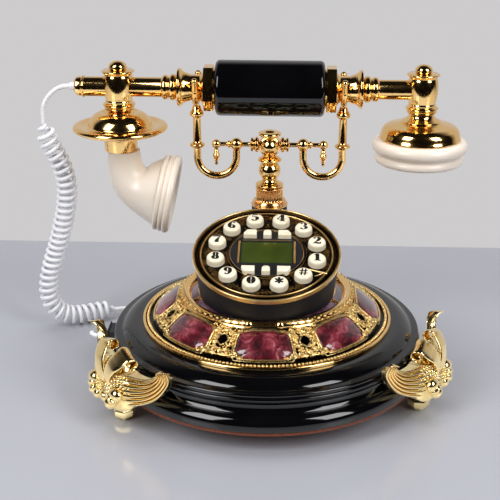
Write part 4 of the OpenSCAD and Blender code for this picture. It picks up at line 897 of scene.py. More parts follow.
def ring_relief():
    """Beads in three rows on the raised ring's outer slope, with a smooth band left inside them."""
    count, clear = 66, 2 * RING_HALF_GAP + 0.12
    a = clear / 2 + (np.arange(count) + 0.5) * (2 * np.pi - clear) / count
    lift = math.radians(38)
    shells = []
    for size, tilt, offset in ((0.95, lift, 0.0), (0.6, lift - 0.42, 0.5), (0.5, lift + 0.36, 0.5)):
        out, up = (RING_TUBE + 0.1) * math.cos(tilt), (RING_TUBE + 0.1) * math.sin(tilt)
        spots = polar(RING_MID + out, a + offset * (a[1] - a[0]), BAND_HIGH[1] + up)
        shells.append(scattered(bead(), spots + BASE, size))
    return shells


# ---------- the feet ----------


def round_side(u, h, z):
    """Carries (along the plinth's side, out of it, height) to a foot's own frame.

    It is (R sin a, -R cos a, z) with R = plinth radius + h and a = u / plinth radius."""
    return polar(PLINTH_R + h, u / PLINTH_R, z)


def standoff(u, z):
    """How far the foot's breast holds a wing off the plinth, so that it leans back.

    It is 9 (1 - |u| / 34)^1.3 + 0.2 (38 - z) mm, and neither term falls below 0."""
    return 9 * np.clip(1 - np.abs(u) / 34, 0, 1) ** 1.3 + 0.2 * np.clip(38 - z, 0, None)


def wing(hand):
    """One spread wing: six long feathers that run from the shoulder to a rolled tip.

    Its front lies h = 1.6 + 3.2 sin(pi t)^0.6 (1 - 0.3 s) out of the plinth, t across and s along it, plus the
    feathers' 1.7 |sin 6 pi t|^0.8, and rolls up to 7 mm outwards over the last quarter of its top edge.
    The stand-off from the plinth is added to all of it."""
    s = np.linspace(0, 1, 64)[:, None]
    t = np.linspace(0, 1, 85)[None]
    top = [[3, 28], [7, 32.6], [12.5, 34.6], [19, 34.8], [25, 35.4], [29.5, 37.4], [32.8, 40.4], [35.2, 44], [37.6, 46]]
    bottom = [
        [3, 19.6], [9, 17.4], [16, 18], [22.3, 19.6], [30.7, 23.9], [36, 28.6], [39.8, 34], [42.2, 39.6], [41.4, 44.2],
    ]
    top, bottom = smooth_path(top, 64), smooth_path(bottom, 64)
    flat = top[:, None] * (1 - t[..., None]) + bottom[:, None] * t[..., None]
    scallop = 0.9 * np.abs(np.sin(6 * np.pi * t)) * np.clip((s - 0.86) / 0.14, 0, 1)
    flat = flat + np.stack([0.5 * scallop, 0.7 * scallop], -1)
    roll = np.clip((s - 0.72) / 0.28, 0, 1)
    h = 1.6 + 3.2 * np.sin(np.pi * np.clip(t, 0.001, 0.999)) ** 0.6 * (1 - 0.3 * s)
    h = h + 1.7 * np.abs(np.sin(6 * np.pi * t)) ** 0.8 * np.clip(s * 5, 0, 1)
    h = h + 5.5 * roll**2 * (1 - t) ** 1.2 + 1.5 * roll**2
    back = np.minimum(h - 1.2, 0.2 + 5.5 * roll**2)
    h = h + standoff(flat[..., 0], flat[..., 1])
    front = round_side(hand * flat[..., 0], h, flat[..., 1])
    rear = round_side(hand * flat[..., 0], back, flat[..., 1])[:, ::-1]
    grid = np.concatenate([front, rear], 1)
    out = np.interp(s[:, 0], [0, 0.7, 1], [2.4, 1.9, 8.4]) + standoff(top[:, 0], top[:, 1])
    rim_path = round_side(hand * top[2:62, 0], out[2:62], top[2:62, 1])
    return [capped(grid), tube(rim_path, 0.75, 10, (0.02, 0.03, 1))]


def shoulder(hand):
    """The wing's shoulder: a low dome with three arcs of covert feathers as long beads, round a bare knob."""
    u, z, size = 11.6, 24.4, 10.4
    k = np.linspace(0, 1, 14)[:, None]
    a = around(48)
    rho = size * k
    h = 2.2 + 3.6 * np.sqrt(1 - 0.96 * k**2) + 0 * a
    across, up = u + rho * np.cos(a), z + rho * np.sin(a)
    dome = round_side(hand * across, h + standoff(across, up), up)
    skirt = round_side(hand * (u + size * np.cos(a)), -0.5 + 0 * a, z + size * np.sin(a))[None]
    shells = [sheet(np.concatenate([dome, skirt]))]
    long_bead = bead(1.0, 10, 8)
    for radius, count, length in ((9.4, 17, 1.25), (7.3, 14, 1.2), (5.4, 10, 1.1)):
        rise = 2.2 + 3.6 * math.sqrt(1 - 0.96 * (radius / size) ** 2)
        for degrees in np.linspace(8, 200, count):
            points = long_bead[0] * [length, 0.8, 0.8]
            spin = spun(degrees)
            flat = points[:, :2] @ spin + radius * spin[0] + [u, z]
            out = rise + points[:, 2] + standoff(flat[:, 0], flat[:, 1])
            shells.append((round_side(hand * flat[:, 0], out, flat[:, 1]), long_bead[1]))
    knob = bead(1.0, 28, 18)
    points = knob[0] * [4.2, 4.2, 3.6] + [u, z, 6.0 + standoff(u, z)]
    shells.append((round_side(hand * points[:, 0], points[:, 2], points[:, 1]), knob[1]))
    path = smooth_path([[11, 22.6, 14.4], [9.2, 19.8, 15.4], [6.6, 17, 14], [3.6, 14.4, 10], [1.2, 12, 5.6]], 60)
    radius = 3.0 + 1.0 * np.abs(np.sin(np.linspace(0, 5 * np.pi, 60))) - np.linspace(0, 0.6, 60)
    shells.append(tube(round_side(hand * path[:, 0], path[:, 2], path[:, 1]), radius, 20, (0.1, 1, 0.2)))
    return shells


def strap(path, width, thick, across):
    """A cast strap: its section at each point is w |cos a|^0.5 across and t |sin a|^0.8 outwards, with their signs."""
    path = np.asarray(path, float)
    t = tangents(path)
    side = np.broadcast_to(np.asarray(across, float), t.shape)
    side = side - (side * t).sum(1, keepdims=True) * t
    side /= np.linalg.norm(side, axis=1, keepdims=True)
    out = np.cross(t, side)
    a = around(24)
    w = np.broadcast_to(width, (len(path),))[:, None, None]
    d = np.broadcast_to(thick, (len(path),))[:, None, None]
    c = (np.sign(np.cos(a)) * np.abs(np.cos(a)) ** 0.5)[:, None]
    e = (np.sign(np.sin(a)) * np.abs(np.sin(a)) ** 0.8)[:, None]
    grid = path[:, None] + w * c * side[:, None] + d * e * out[:, None]
    return capped(grid, path)


def foot_shells():
    """One foot towards the user: two wings, two broad straps rolled over at the top, a leg and a faceted ball."""
    shells = []
    for hand in (-1, 1):
        shells += wing(hand) + shoulder(hand)
        rise = [[1.0, 5.4, 15], [1.6, 10.2, 20], [2.6, 13, 26], [4.2, 13.8, 32.6], [6.8, 12.4, 38.6], [9.6, 9.8, 42.6]]
        a = np.radians(np.linspace(40, 420, 48))
        rho = 3.6 - 2.3 * np.linspace(0, 1, 48)
        scroll = np.stack([np.linspace(11.4, 13.8, 48), 4.4 + rho * np.cos(a), 43.2 + rho * np.sin(a)], 1)
        path = np.vstack([smooth_path(rise, 48), scroll])
        points = np.stack([hand * path[:, 0], -(PLINTH_R + path[:, 1]), path[:, 2]], 1)
        k = np.linspace(0, 1, len(path))
        width = np.interp(k, [0, 0.15, 0.35, 0.55, 1], [1.6, 2.8, 4.4, 6.4, 5.2])
        shells.append(strap(points, width, np.interp(k, [0, 0.3, 1], [0.9, 0.9, 0.7]), (hand * 0.94, -0.1, -0.3)))
    leg = [
        [[0, 10.4], [3.8, 11.2], [4.8, 12.2], [5, 13.2], [4.4, 13.9], [5.3, 14.6], [5.5, 15.7], [4.9, 16.4]],
        [[5.9, 17.2], [6.1, 18.5], [5.6, 19.1], [6.6, 21], [7.8, 25], [8.2, 29], [7.4, 33], [5, 37], [0, 39]],
    ]
    shells.append(moved(lathe(leg, 64, 0.3), (0, -PLINTH_R - 2, 0)))
    ball = [[[0, 0], [3.4, 0], [6.4, 3.2], [6.6, 6.4], [4.6, 9.6], [3.9, 11.4], [0, 11.6]]]
    shells.append(moved(lathe(ball, 7, 0.2), (0, -PLINTH_R - 2, 0), turn(20)))
    return shells


class TELEPHONE_OT_feet(bpy.types.Operator):
    """Makes the three winged feet"""

    bl_idname = "telephone.feet"
    bl_label = "Feet"

    def execute(self, context):
        shells = foot_shells()
        for name, angle in (("foot_right", 66), ("foot_rear", 186), ("foot_left", 306)):
            placed = [moved(shell, BASE, turn(angle)) for shell in shells]
            piece("winged_" + name, placed, "pale", "base", [name], sharp=42)
        return {"FINISHED"}


# ---------- the dial ----------

DIAL = (0.0, -20.5, 87.2)
DIAL_TILT = turn(17.3, "X")
DIAL_R = 44.0
FACE_R = 38.7
FACE_Z = -1.4
KEY_RING_R = 30.8


def on_dial(shell):
    """A shell drawn flat on the dial, with z = 0 at the top of its lip, tilted towards the user."""
    return moved(shell, DIAL, DIAL_TILT)


def circle(x, y, radius, count):
    """Points of a circle."""
    return arc(x, y, radius, 0, 360, count + 1)[:-1]


def brocade_wires():
    """Gilt threads of the dial: eight curls and three small rings in each wedge between two keys but the last, rings
    inside them, and a small square.
    """
    shells = []
    rng = np.random.default_rng(5)
    for k in range(12):
        spin = spun(30 * k)
        if k != 11:
            for y in (-3.6, -1.2, 1.2, 3.6):
                for x in (33.4 + 0.5 * abs(y), 36.3):
                    curl = spiral(1.2, 0.95, 0.2, 18, rng.choice([-1, 1])) @ spun(-rng.uniform(0, 360))
                    shells.append(wire((curl + [x, y]) @ spin, 0.14, FACE_Z + 0.12, 5))
            for y in (-2.4, 0, 2.4):
                shells.append(wire(circle(34.9, y, 0.5, 12) @ spin, 0.12, FACE_Z + 0.12, 5, True))
        if k != 9:
            shells.append(wire(circle(25.9, 0, 0.75, 16) @ spin, 0.16, FACE_Z + 0.15, 6, True))
            shells.append(wire(circle(28.2, 0, 0.35, 10) @ spin, 0.14, FACE_Z + 0.12, 5, True))
    square = closed_line([[-0.85, -0.6], [0.85, -0.6], [0.85, 0.6], [-0.85, 0.6]], 16)
    shells.append(wire(square + [0, -26.2], 0.2, FACE_Z + 0.15, 4, True))
    return shells


def drum(radius_top, radius_low, top, depth, level, sides=192):
    """A tapered drum on the dial's axis cut level: each of its lines runs from the rim to that height."""
    a = around(sides)
    ends = []
    for radius, z in ((radius_top, top), (radius_low, top - depth)):
        ring = np.stack([radius * np.cos(a), radius * np.sin(a), np.full(sides, z)], 1)
        ends.append(ring @ DIAL_TILT.T + DIAL)
    share = ((ends[0][:, 2] - level) / (ends[0][:, 2] - ends[1][:, 2]))[None, :, None]
    k = np.linspace(0, 1, 9)[:, None, None]
    return ends[0][None] + (ends[1] - ends[0])[None] * k * share


class TELEPHONE_OT_dial(bpy.types.Operator):
    """Makes the dial's housing, gilt lip, groove, face relief and display bars"""

    bl_idname = "telephone.dial"
    bl_label = "Dial"

    def execute(self, context):
        level = BAND_HIGH[1] + 2.35
        outside = drum(DIAL_R - 0.9, DIAL_R - 5.3, -3.5, 46, level)
        inside = drum(DIAL_R - 3.5, DIAL_R - 7.9, -3.5, 46, level)[::-1]
        wall = np.concatenate([outside, inside])
        turret = lathe(
            [[[0, 59.8], [11.2, 59.8], [11.2, 98], [3.2, 98], [3.2, 94], [8.4, 94], [8.4, 61.8], [0, 61.8]]], 96, 0.3
        )
        piece(
            "dial_drum", [sheet(wall, wrap_rows=True), moved(turret, POST)], "drum", "base", ["dial_housing"], sharp=30
        )
        r = DIAL_R
        lip = [
            [[r - 0.6, -3.5], [r, -2.9], [r, -0.8]],
            arc(r - 0.55, -0.55, 0.55, 0, 180, 10),
            [[r - 1.2, -1.2], [r - 1.4, -3.5]],
        ]
        inner = [
            [[FACE_R + 1.0, -2.6], [FACE_R + 0.9, -1.2]],
            arc(FACE_R + 0.4, -1.0, 0.45, 0, 180, 8),
            [[FACE_R - 0.1, -1.6], [FACE_R - 0.1, -3.3], [FACE_R - 1.2, -3.3]],
            [[FACE_R - 1.2, -4.7], [FACE_R + 0.8, -4.7]],
        ]
        gold = [on_dial(lathe(lip, 192, 0.12)), on_dial(lathe(inner, 192, 0.1))]
        gold.append(on_dial(moved(lathe([arc(23.2, FACE_Z - 0.1, 0.55, -10, 190, 10)], 144, 0), (0, 0.8, 0))))
        gold.append(on_dial(moved(lathe([arc(21.9, FACE_Z - 0.1, 0.28, -10, 190, 8)], 144, 0), (0, 0.8, 0))))
        spin = spun(-30)
        stop = np.array([[29.4, 0.0], [33.5, 0.5], [37.0, 1.2], [40.0, 1.8]])
        barb = np.array([[34.8, -3.6], [36.6, -1.0], [37.2, 1.2]])
        gold.append(on_dial(wire(smooth_path(stop, 24) @ spin, np.linspace(0.45, 0.8, 24), FACE_Z + 0.5, 10)))
        gold.append(on_dial(wire(smooth_path(barb, 16) @ spin, np.linspace(0.2, 0.7, 16), FACE_Z + 0.4, 10)))
        bar = np.array([[0, -9.6], [0, 10.8]])
        for side in (-1, 1):
            line = evenly(bar + [side * 16.6, 0], 12)
            gold.append(on_dial(wire(line, 0.62, FACE_Z + 0.5, 12)))
        top_line = evenly(np.array([[-14.6, 12.6], [14.6, 12.6]]), 12)
        gold.append(on_dial(wire(top_line, 0.3, FACE_Z + 0.1, 8)))
        piece("dial_gilding", gold, "gilding", "base", ["dial_bezel"], sharp=50)
        groove = [[[r - 1.2, -1.1]], arc(41.5, -0.6, 1.9, -30, -150, 16), [[FACE_R + 1, -1.7], [FACE_R + 1, -3.45]]]
        piece("dial_groove", [on_dial(lathe(groove, 192, 0))], "bronze", "base")
        piece("dial_brocade", [on_dial(shell) for shell in brocade_wires()], "threads", "base")
        line = closed_line([[-15.3, -9.0], [15.3, -9.0], [15.3, 11.4], [-15.3, 11.4]], 64)
        piece("display_edge", [on_dial(wire(line, 0.28, FACE_Z - 0.1, 6, True))], "black", "base")
        return {"FINISHED"}


# ---------- the keys ----------


def loop(x, y, rx, ry, thick, thin):
    """A closed bowl of a digit: thick at its sides, thin at top and bottom."""
    a = np.linspace(0, 2 * np.pi, 33)
    return np.stack([x + rx * np.cos(a), y + ry * np.sin(a)], 1), thin + (thick - thin) * np.abs(np.cos(a)) ** 1.4


DIGITS = {
    "1": [([[0.02, -0.5], [0.02, 0.5]], [0.3, 0.3]), ([[-0.27, -0.46], [0.31, -0.46]], [0.08, 0.08]),
          ([[-0.27, 0.3], [-0.1, 0.36], [0.0, 0.48]], [0.04, 0.1, 0.12])],
    "2": [([[-0.27, 0.24], [-0.16, 0.43], [0.04, 0.45], [0.2, 0.27], [0.12, 0.04], [-0.1, -0.18], [-0.32, -0.44]],
           [0.26, 0.09, 0.09, 0.32, 0.26, 0.1, 0.06]),
          ([[-0.34, -0.44], [-0.16, -0.36], [0.06, -0.4], [0.28, -0.4], [0.35, -0.22]],
           [0.06, 0.18, 0.22, 0.16, 0.04])],
    "3": [([[-0.25, 0.3], [-0.14, 0.44], [0.04, 0.45], [0.18, 0.27], [0.08, 0.06], [-0.08, 0.02]],
           [0.24, 0.09, 0.09, 0.28, 0.12, 0.06]),
          ([[-0.08, 0.02], [0.12, -0.02], [0.22, -0.22], [0.08, -0.44], [-0.14, -0.45], [-0.27, -0.29]],
           [0.06, 0.12, 0.32, 0.09, 0.09, 0.24])],
    "4": [([[0.12, -0.5], [0.12, 0.5]], [0.28, 0.28]), ([[0.1, 0.46], [-0.36, -0.18]], [0.09, 0.07]),
          ([[-0.38, -0.2], [0.38, -0.2]], [0.1, 0.1]), ([[-0.12, -0.47], [0.36, -0.47]], [0.07, 0.07])],
    "5": [([[-0.22, 0.42], [0.25, 0.42]], [0.16, 0.16]), ([[-0.21, 0.44], [-0.25, 0.06]], [0.06, 0.06]),
          ([[-0.25, 0.06], [0.0, 0.13], [0.17, 0.0], [0.19, -0.2], [0.05, -0.44], [-0.15, -0.45], [-0.27, -0.3]],
           [0.04, 0.1, 0.28, 0.32, 0.09, 0.09, 0.22])],
    "6": [([[0.24, 0.3], [0.12, 0.45], [-0.08, 0.38], [-0.2, 0.08], [-0.18, -0.24], [0.0, -0.46]],
           [0.2, 0.08, 0.16, 0.32, 0.3, 0.07]),
          ([[0.0, -0.46], [0.17, -0.34], [0.2, -0.16], [0.1, 0.04], [-0.08, 0.04]], [0.07, 0.26, 0.28, 0.1, 0.05])],
    "7": [([[-0.32, 0.4], [0.0, 0.42], [0.33, 0.42]], [0.18, 0.2, 0.1]), ([[-0.33, 0.46], [-0.34, 0.2]], [0.04, 0.05]),
          ([[0.31, 0.42], [0.1, 0.12], [-0.02, -0.2], [-0.04, -0.5]], [0.06, 0.16, 0.32, 0.34])],
    "8": [loop(0, 0.25, 0.15, 0.21, 0.24, 0.07), loop(0, -0.22, 0.19, 0.24, 0.3, 0.07)],
    "0": [loop(0, 0, 0.21, 0.45, 0.34, 0.07)],
    "*": [([[0, -0.42], [0, 0.42]], [0.2, 0.2]), ([[-0.36, -0.22], [0.36, 0.22]], [0.17, 0.17]),
          ([[-0.36, 0.22], [0.36, -0.22]], [0.17, 0.17])],
    "#": [([[-0.2, -0.46], [-0.08, 0.46]], [0.12, 0.12]), ([[0.1, -0.46], [0.22, 0.46]], [0.12, 0.12]),
          ([[-0.36, 0.16], [0.38, 0.16]], [0.11, 0.11]), ([[-0.38, -0.16], [0.36, -0.16]], [0.11, 0.11])],
}
DIGITS["9"] = [(np.asarray(points) * -1, widths) for points, widths in DIGITS["6"]]
KEYS = {**{digit: digit for digit in "1234567890"}, "*": "star", "#": "hash"}


def key_top(rho, r=5.3):
    """Height of a digit key's top under its highest ring.

    It is 0.2 (rho / 2.7)^2 - 0.2 inside 2.7 mm, then an ellipse of 2.6 by 2 mm."""
    dish = 0.2 * (np.minimum(rho, 2.7) / 2.7) ** 2 - 0.2
    edge = 2 * np.sqrt(np.clip(1 - ((np.maximum(rho, 2.7) - 2.7) / (r - 2.7)) ** 2, 0, 1)) - 2
    return dish + edge


def digit_shells(mark, height, top):
    """A fat-face digit: strokes along smooth lines, each with its own width, printed 0.07 mm thick on a key's top."""
    shells = []
    for line, widths in DIGITS[mark]:
        count = 9 if len(line) == 2 else 33
        path = smooth_path(line, count) if len(line) < 30 else np.asarray(line)
        k = np.linspace(0, 1, len(path))
        width = 1.12 * np.interp(k, np.linspace(0, 1, len(widths)), widths)
        d = tangents(path)
        side = np.stack([-d[:, 1], d[:, 0]], 1) * width[:, None] / 2
        across = np.array([-1.0, -0.4, 0.4, 1.0])
        flat = (path[:, None] + side[:, None] * across[:, None]) * height * [0.98, 1.0]
        for lift in (0.07, -0.1):
            z = top + key_top(np.linalg.norm(flat + [0, 0.2], axis=-1)) + lift
            shells.append(sheet(np.concatenate([flat, z[..., None]], -1), wrap_columns=False))
    return shells


def function_outline(i, grow):
    """Outline of a function key about its own middle: the middle ones round at the top, the outer ones cut askew."""
    side, row = i % 3 - 1, 1 if i < 3 else -1
    h = 2.6 + grow
    if side == 0:
        w = 2.4 + grow
        return np.vstack([[[w, -h]], arc(w - 2, h - 2, 2, 0, 90, 8), arc(2 - w, h - 2, 2, 90, 180, 8), [[-w, -h]]])
    w = 3.9 + grow
    corners = [[-w, -h], [w, -h], [w, h - 3], [w - 2, h], [-w, h]]
    return np.array(corners) * [side, row]


def function_key(i):
    """A function key: its outline carried up in levels, drawn in and domed at the top."""
    levels = [
        (0.8, -4.5), (0.8, -3.55), (0.75, -3.5), (0.0, -3.45), (0.0, 1.25), (-0.12, 1.5), (-0.4, 1.68), (-0.9, 1.8),
        (-1.6, 1.86),
    ]
    rows = [raised(closed_line(function_outline(i, grow), 40), z) for grow, z in levels]
    place = [10.4 * (i % 3 - 1), 17.2 if i < 3 else -17.2, 0]
    return moved(capped(np.array(rows)), place)


class TELEPHONE_OT_keys(bpy.types.Operator):
    """Makes the eighteen keys and prints the digits"""

    bl_idname = "telephone.keys"
    bl_label = "Keys"

    def execute(self, context):
        top, r = 3.0, 5.3
        height = context.scene.telephone_gilding.digit_height / MM
        profile = [
            [[0, -4.8], [r + 0.9, -4.8], [r + 0.9, -3.5], [r, -3.5], [r, top - 2.2]],
            [[x, key_top(x) + top] for x in np.linspace(r, 0, 24) if x < r],
            [[0, top - 0.2]],
        ]
        cap = lathe(profile, 64, 0.15)
        for i, (mark, name) in enumerate(KEYS.items()):
            a = math.radians(-15 + 30 * i)
            spot = (KEY_RING_R * math.cos(a), KEY_RING_R * math.sin(a), 0)
            piece(f"key_cap_{name}", [on_dial(moved(cap, spot))], "keys", f"button_{name}", [f"key_{name}"])
            ink = [on_dial(moved(shell, (spot[0], spot[1] + 0.2, 0))) for shell in digit_shells(mark, height, top)]
            piece(f"digit_{name}", ink, "ink", f"button_{name}")
        for i, name in enumerate(("top_left", "top_middle", "top_right", "low_left", "low_middle", "low_right")):
            piece(f"function_{name}", [on_dial(function_key(i))], "keys", f"button_{name}", [f"key_{name}"])
        return {"FINISHED"}


# ---------- the post, the cross bar and the hooks ----------


class TELEPHONE_OT_cradle(bpy.types.Operator):
    """Makes the sleeve, the post, the cross bar and the two hooks"""

    bl_idname = "telephone.cradle"
    bl_label = "Cradle"

    def execute(self, context):
        collar = [[[3.2, 98], [11, 98], [11.6, 98.6], [11.6, 99.4], [10.8, 100], [10.8, 100.6], [10, 102], [3.2, 102]]]
        cap = [[[3.2, 109.4], [8.6, 109.4], [8.8, 109.6], [8.8, 110.3], [8.5, 110.6], [3.2, 110.6]]]
        a = around(360)
        z = np.array([102, 102.3, 103, 105, 107, 109, 109.5])[:, None]
        depth = np.array([0.1, 0.5, 1, 1, 1, 1, 0.4])[:, None]
        r = 8.55 - 0.65 * depth * np.abs(np.sin(15 * a)) ** 0.8
        flutes = sheet(np.stack([r * np.cos(a), r * np.sin(a), z + 0 * a], -1))
        sleeve = [moved(lathe(collar, 128, 0.12), POST), moved(lathe(cap, 128, 0.08), POST), moved(flutes, POST)]
        piece("fluted_sleeve", sleeve, "copper", "base", ["post_sleeve"], sharp=50)

        bar, ball = 137.6, 121.0
        post = [
            [[0, 71.7], [1.6, 71.7], [1.6, 76.7], [7.7, 76.7], [7.7, 78.7], [3, 78.7], [3, 110.9], [8.2, 110.9]],
            [[8.8, 111.5], [8.8, 112.3], [7.2, 112.9], [6.2, 113.4], [5.2, 114.3], [4.6, 115.3], [4.6, 116.3]],
            arc(0, ball, 6.9, -42, 52, 22),
            [[4.4, ball + 5.6], [6.6, ball + 5.9], [7.3, ball + 6.2], [7.5, ball + 7.4], [6, ball + 8.6]],
            [[4.6, ball + 9.2], [3.8, ball + 10], [4.1, ball + 11.4], [4.8, ball + 12.4], [5.2, bar - 3], [0, bar - 2]],
        ]
        shells = [moved(lathe(post, 96, 0.2), POST)]
        hub = [[[0, -9.7], [2.2, -9.3], [4.0, -8.0], [5.0, -6.4], [5.6, -5.6], [6.4, -5.4], [6.6, -4.9], [6.6, 4.9],
                [6.4, 5.4], [5.6, 5.6], [5.0, 6.4], [4.0, 8.0], [2.2, 9.3], [0, 9.7]]]
        shells.append(moved(lathe(hub, 80, 0.25), (0, POST_Y, bar), "-Y"))
        crown = [[
            [0, 4], [4.2, 4], [4.2, 5.6], [6.4, 5.8], [7.1, 6.4], [7.2, 7.2], [6.6, 8], [3.6, 8.3], [3.1, 8.8],
            [2.2, 9.3], [0, 9.5],
        ]]
        shells.append(moved(lathe(crown, 80, 0.2), (0, POST_Y, bar)))
        piece("turned_post", shells, "gold", "cradle", ["cradle_post"], sharp=45)

        inner, outer, ends = 20.8, 45.2, 33.4
        side = [
            [[0, 2], [2, 6.65], [3.6, 6.65], [4.8, 7.6], [4.8, 8.8], [3.4, 9.2], [3.4, 10], [4.4, 10.4], [4.4, 11.6]],
            [[1.5, 12.3], [1.4, 17]],
            arc(0, inner, 4, -68, 68, 18),
            [[1.4, inner + 3.9], [1.4, 24.5], [2.2, 24.9], [2.4, 25.5], [2.2, 26.1], [1.4, 26.5], [1.4, ends - 2.6]],
            arc(0, ends, 2.9, -58, 86, 13),
        ]
        rod = lathe(side, 56, 0.12)
        drop = [[
            [0, -13.6], [0.8, -13.3], [1.1, -12.5], [0.8, -11.6], [0.9, -11.2], [1.5, -9.6], [2.2, -7.6], [2.3, -6.8],
            [1.7, -5.8], [1.2, -5.2], [1.9, -4.4], [1.2, -3.6], [1.2, -1.6], [0, -1],
        ]]
        pendant = lathe(drop, 40, 0.15)
        shells = []
        for hand, axes in ((1, "X"), (-1, "-X")):
            shells.append(moved(rod, (0, POST_Y, bar), axes))
            shells.append(moved(pendant, (hand * ends, POST_Y, bar)))
        piece("turned_cross_bar", shells, "gold", "cradle", ["cross_bar"], sharp=45)

        fork_r, prong = 10.2, 1.9
        base = HANDSET_Z - fork_r - prong
        leg = [[
            [0, 128], [2.3, 128], [2.3, bar - 2.4], [4.2, bar - 1.8], [4.8, bar - 0.8], [4.6, bar + 0.2],
            [3.2, bar + 0.8], [2.6, bar + 1.6], [2.4, base - 6.6], [2.8, base - 6.3], [3.6, base - 5.8],
            [4.3, base - 4.8], [4.4, base - 4], [4.3, base - 3.2], [3.6, base - 2.2], [2.9, base - 1.2],
            [2.4, base + 1], [0, base + 2],
        ]]
        leg = lathe(leg, 56, 0.2)
        for hand, name in ((1, "hook_right"), (-1, "hook_left")):
            middle = (inner + outer) / 2
            arms = np.insert(arc(hand * middle, 129.2, 12.2, 180, 360, 56), 1, POST_Y, 1)
            shells = [tube(arms, 2.3, 24, (0, -1, 0))]
            stub = np.array([[hand * inner, POST_Y, z] for z in (129.0, 130.5, 132.0, 134.0)])
            shells.append(tube(stub, 2.3, 24, (0, 1, 0)))
            shells.append(moved(leg, (hand * outer, POST_Y, 0)))
            centre = (hand * outer, POST_Y, HANDSET_Z)
            bow = np.insert(arc(0, 0, fork_r, 180, 360, 44), 0, 0, 1)
            tips = [np.array([[0, s * (fork_r + 2.4 * k), 6.2 * k] for k in np.linspace(0.12, 1, 9)]) for s in (-1, 1)]
            path = np.vstack([tips[0][::-1], bow, tips[1]]) + centre
            shells.append(tube(path, prong, 20, (1, 0, 0)))
            balls = np.array([[0, s * 12.6, 6.2] for s in (-1, 1)]) + centre
            shells.append(scattered(bead(1.0, 24, 14), balls, prong + 0.15))
            piece("cast_" + name, shells, "gold", "cradle", [name], sharp=50)
        return {"FINISHED"}


# ---------- the handset ----------


def neck(hand):
    """The turned fittings between the grip and a hub, on one side of the handset."""
    half, waist, bar, x = GRIP_HALF, 8.0, 6.0, 45.2
    oct_x, flange = half + 1.2, x + 10
    profile = [
        [[4, half + 0.05], [12, half + 0.05], [12, oct_x + 0.1], [10, oct_x + 0.1], [10, oct_x + 6.2]],
        [[9.6, oct_x + 6.8]],
        [[8.7, oct_x + 7.3], [waist, oct_x + 8.2], [waist, x + 3.1], [waist + 1.2, flange - 3.4], [9.9, flange - 2]],
        [[11, flange - 1], [11.8, flange], [11.8, flange + 1.2], [bar + 2.4, flange + 1.6], [bar + 0.6, flange + 2]],
        arc(0, 0, 1, -70, 74, 13) * [2, 2.2] + [bar + 0.2, flange + 4.2],
        [[bar + 0.4, flange + 6.6]],
        arc(0, 0, 1, -70, 65, 10) * [1.4, 2] + [bar + 0.2, flange + 8.8],
        [[bar, flange + 11], [bar, END_X - 3.4]],
    ]
    shells = [lathe(profile, 96, 0.18)]
    eight = closed_line(circle(0, 0, 1, 8) @ spun(22.5), 64)
    levels = [(9, 0.0), (13.8, 0.0), (14.25, 0.2), (14.4, 0.6), (14.4, 5.4), (14.25, 5.8), (13.8, 6.0), (9, 6.0)]
    shells.append(stacked(eight, [(r, oct_x + z) for r, z in levels]))
    return [moved(shell, (0, POST_Y, HANDSET_Z), "X" if hand > 0 else "-X") for shell in shells]


def hub(x, dome_r, dome_h, lower):
    """A barrel-shaped hub with a flared lip and a domed finial, above its own lower profile of (radius, height)."""
    low_z, top, r = HANDSET_Z - 10, HANDSET_Z + 9.8, 9.4
    barrel = [[r - 2 + 2 * math.sin(math.radians(20 + 8 * i)), low_z + 2.2 + 1.03 * i] for i in range(15)]
    dome = arc(0, 0, 1, -25, 90, 18) * [dome_r, dome_h - 2.4] + [0, top + 2.4]
    profile = [
        lower,
        [[r - 0.4, low_z - 3.8], [r, low_z - 2.8], [r - 1.2, low_z - 2], [r, low_z - 1.8], [r + 0.8, low_z - 0.9]],
        [[r, low_z], [r - 1.2, low_z + 0.4], [r - 0.9, low_z + 1.4]],
        barrel,
        [[r - 1, top - 2], [r - 0.2, top - 1.2], [r + 0.7, top - 0.4], [r + 0.5, top + 0.3], [dome_r - 1.4, top + 0.8]],
        dome,
    ]
    return moved(lathe(profile, 96, 0.16), (x, POST_Y, 0))


def horn_grid(shrink, rows=44, sides=72):
    """The mouthpiece horn: circles from straight down to the cup's axis.

    Their middles lie on (1-t)^3 a + 3 (1-t)^2 t b + 3 (1-t) t^2 c + t^3 d, and their radius is
    10 + 11.6 (0.4 t + 0.6 t^2.6), less shrink."""
    tilt = math.radians(11)
    way = np.array([math.cos(tilt), 0, -math.sin(tilt)])
    cup = np.array([27.6 - END_X, POST_Y, HANDSET_Z - 68.2])
    d = cup - way * 5.6
    a, b = np.array([1.6 - END_X, POST_Y, HANDSET_Z - 40]), np.array([1.6 - END_X, POST_Y, HANDSET_Z - 62])
    c = d - way * 14
    t = np.linspace(0, 1, rows)[:, None]
    line = (1 - t) ** 3 * a + 3 * (1 - t) ** 2 * t * b + 3 * (1 - t) * t**2 * c + t**3 * d
    n = tangents(line)
    n[0], n[-1] = (0, 0, -1), way
    u = np.cross((0.0, 1.0, 0.0), n)
    u /= np.linalg.norm(u, axis=1, keepdims=True)
    r = 10 + 11.6 * (0.4 * t + 0.6 * t**2.6) - shrink
    k = around(sides)
    ring = u[:, None] * np.cos(k)[:, None] + np.array([0.0, 1.0, 0.0]) * np.sin(k)[:, None]
    return line[:, None] + r[:, None] * ring, cup, way


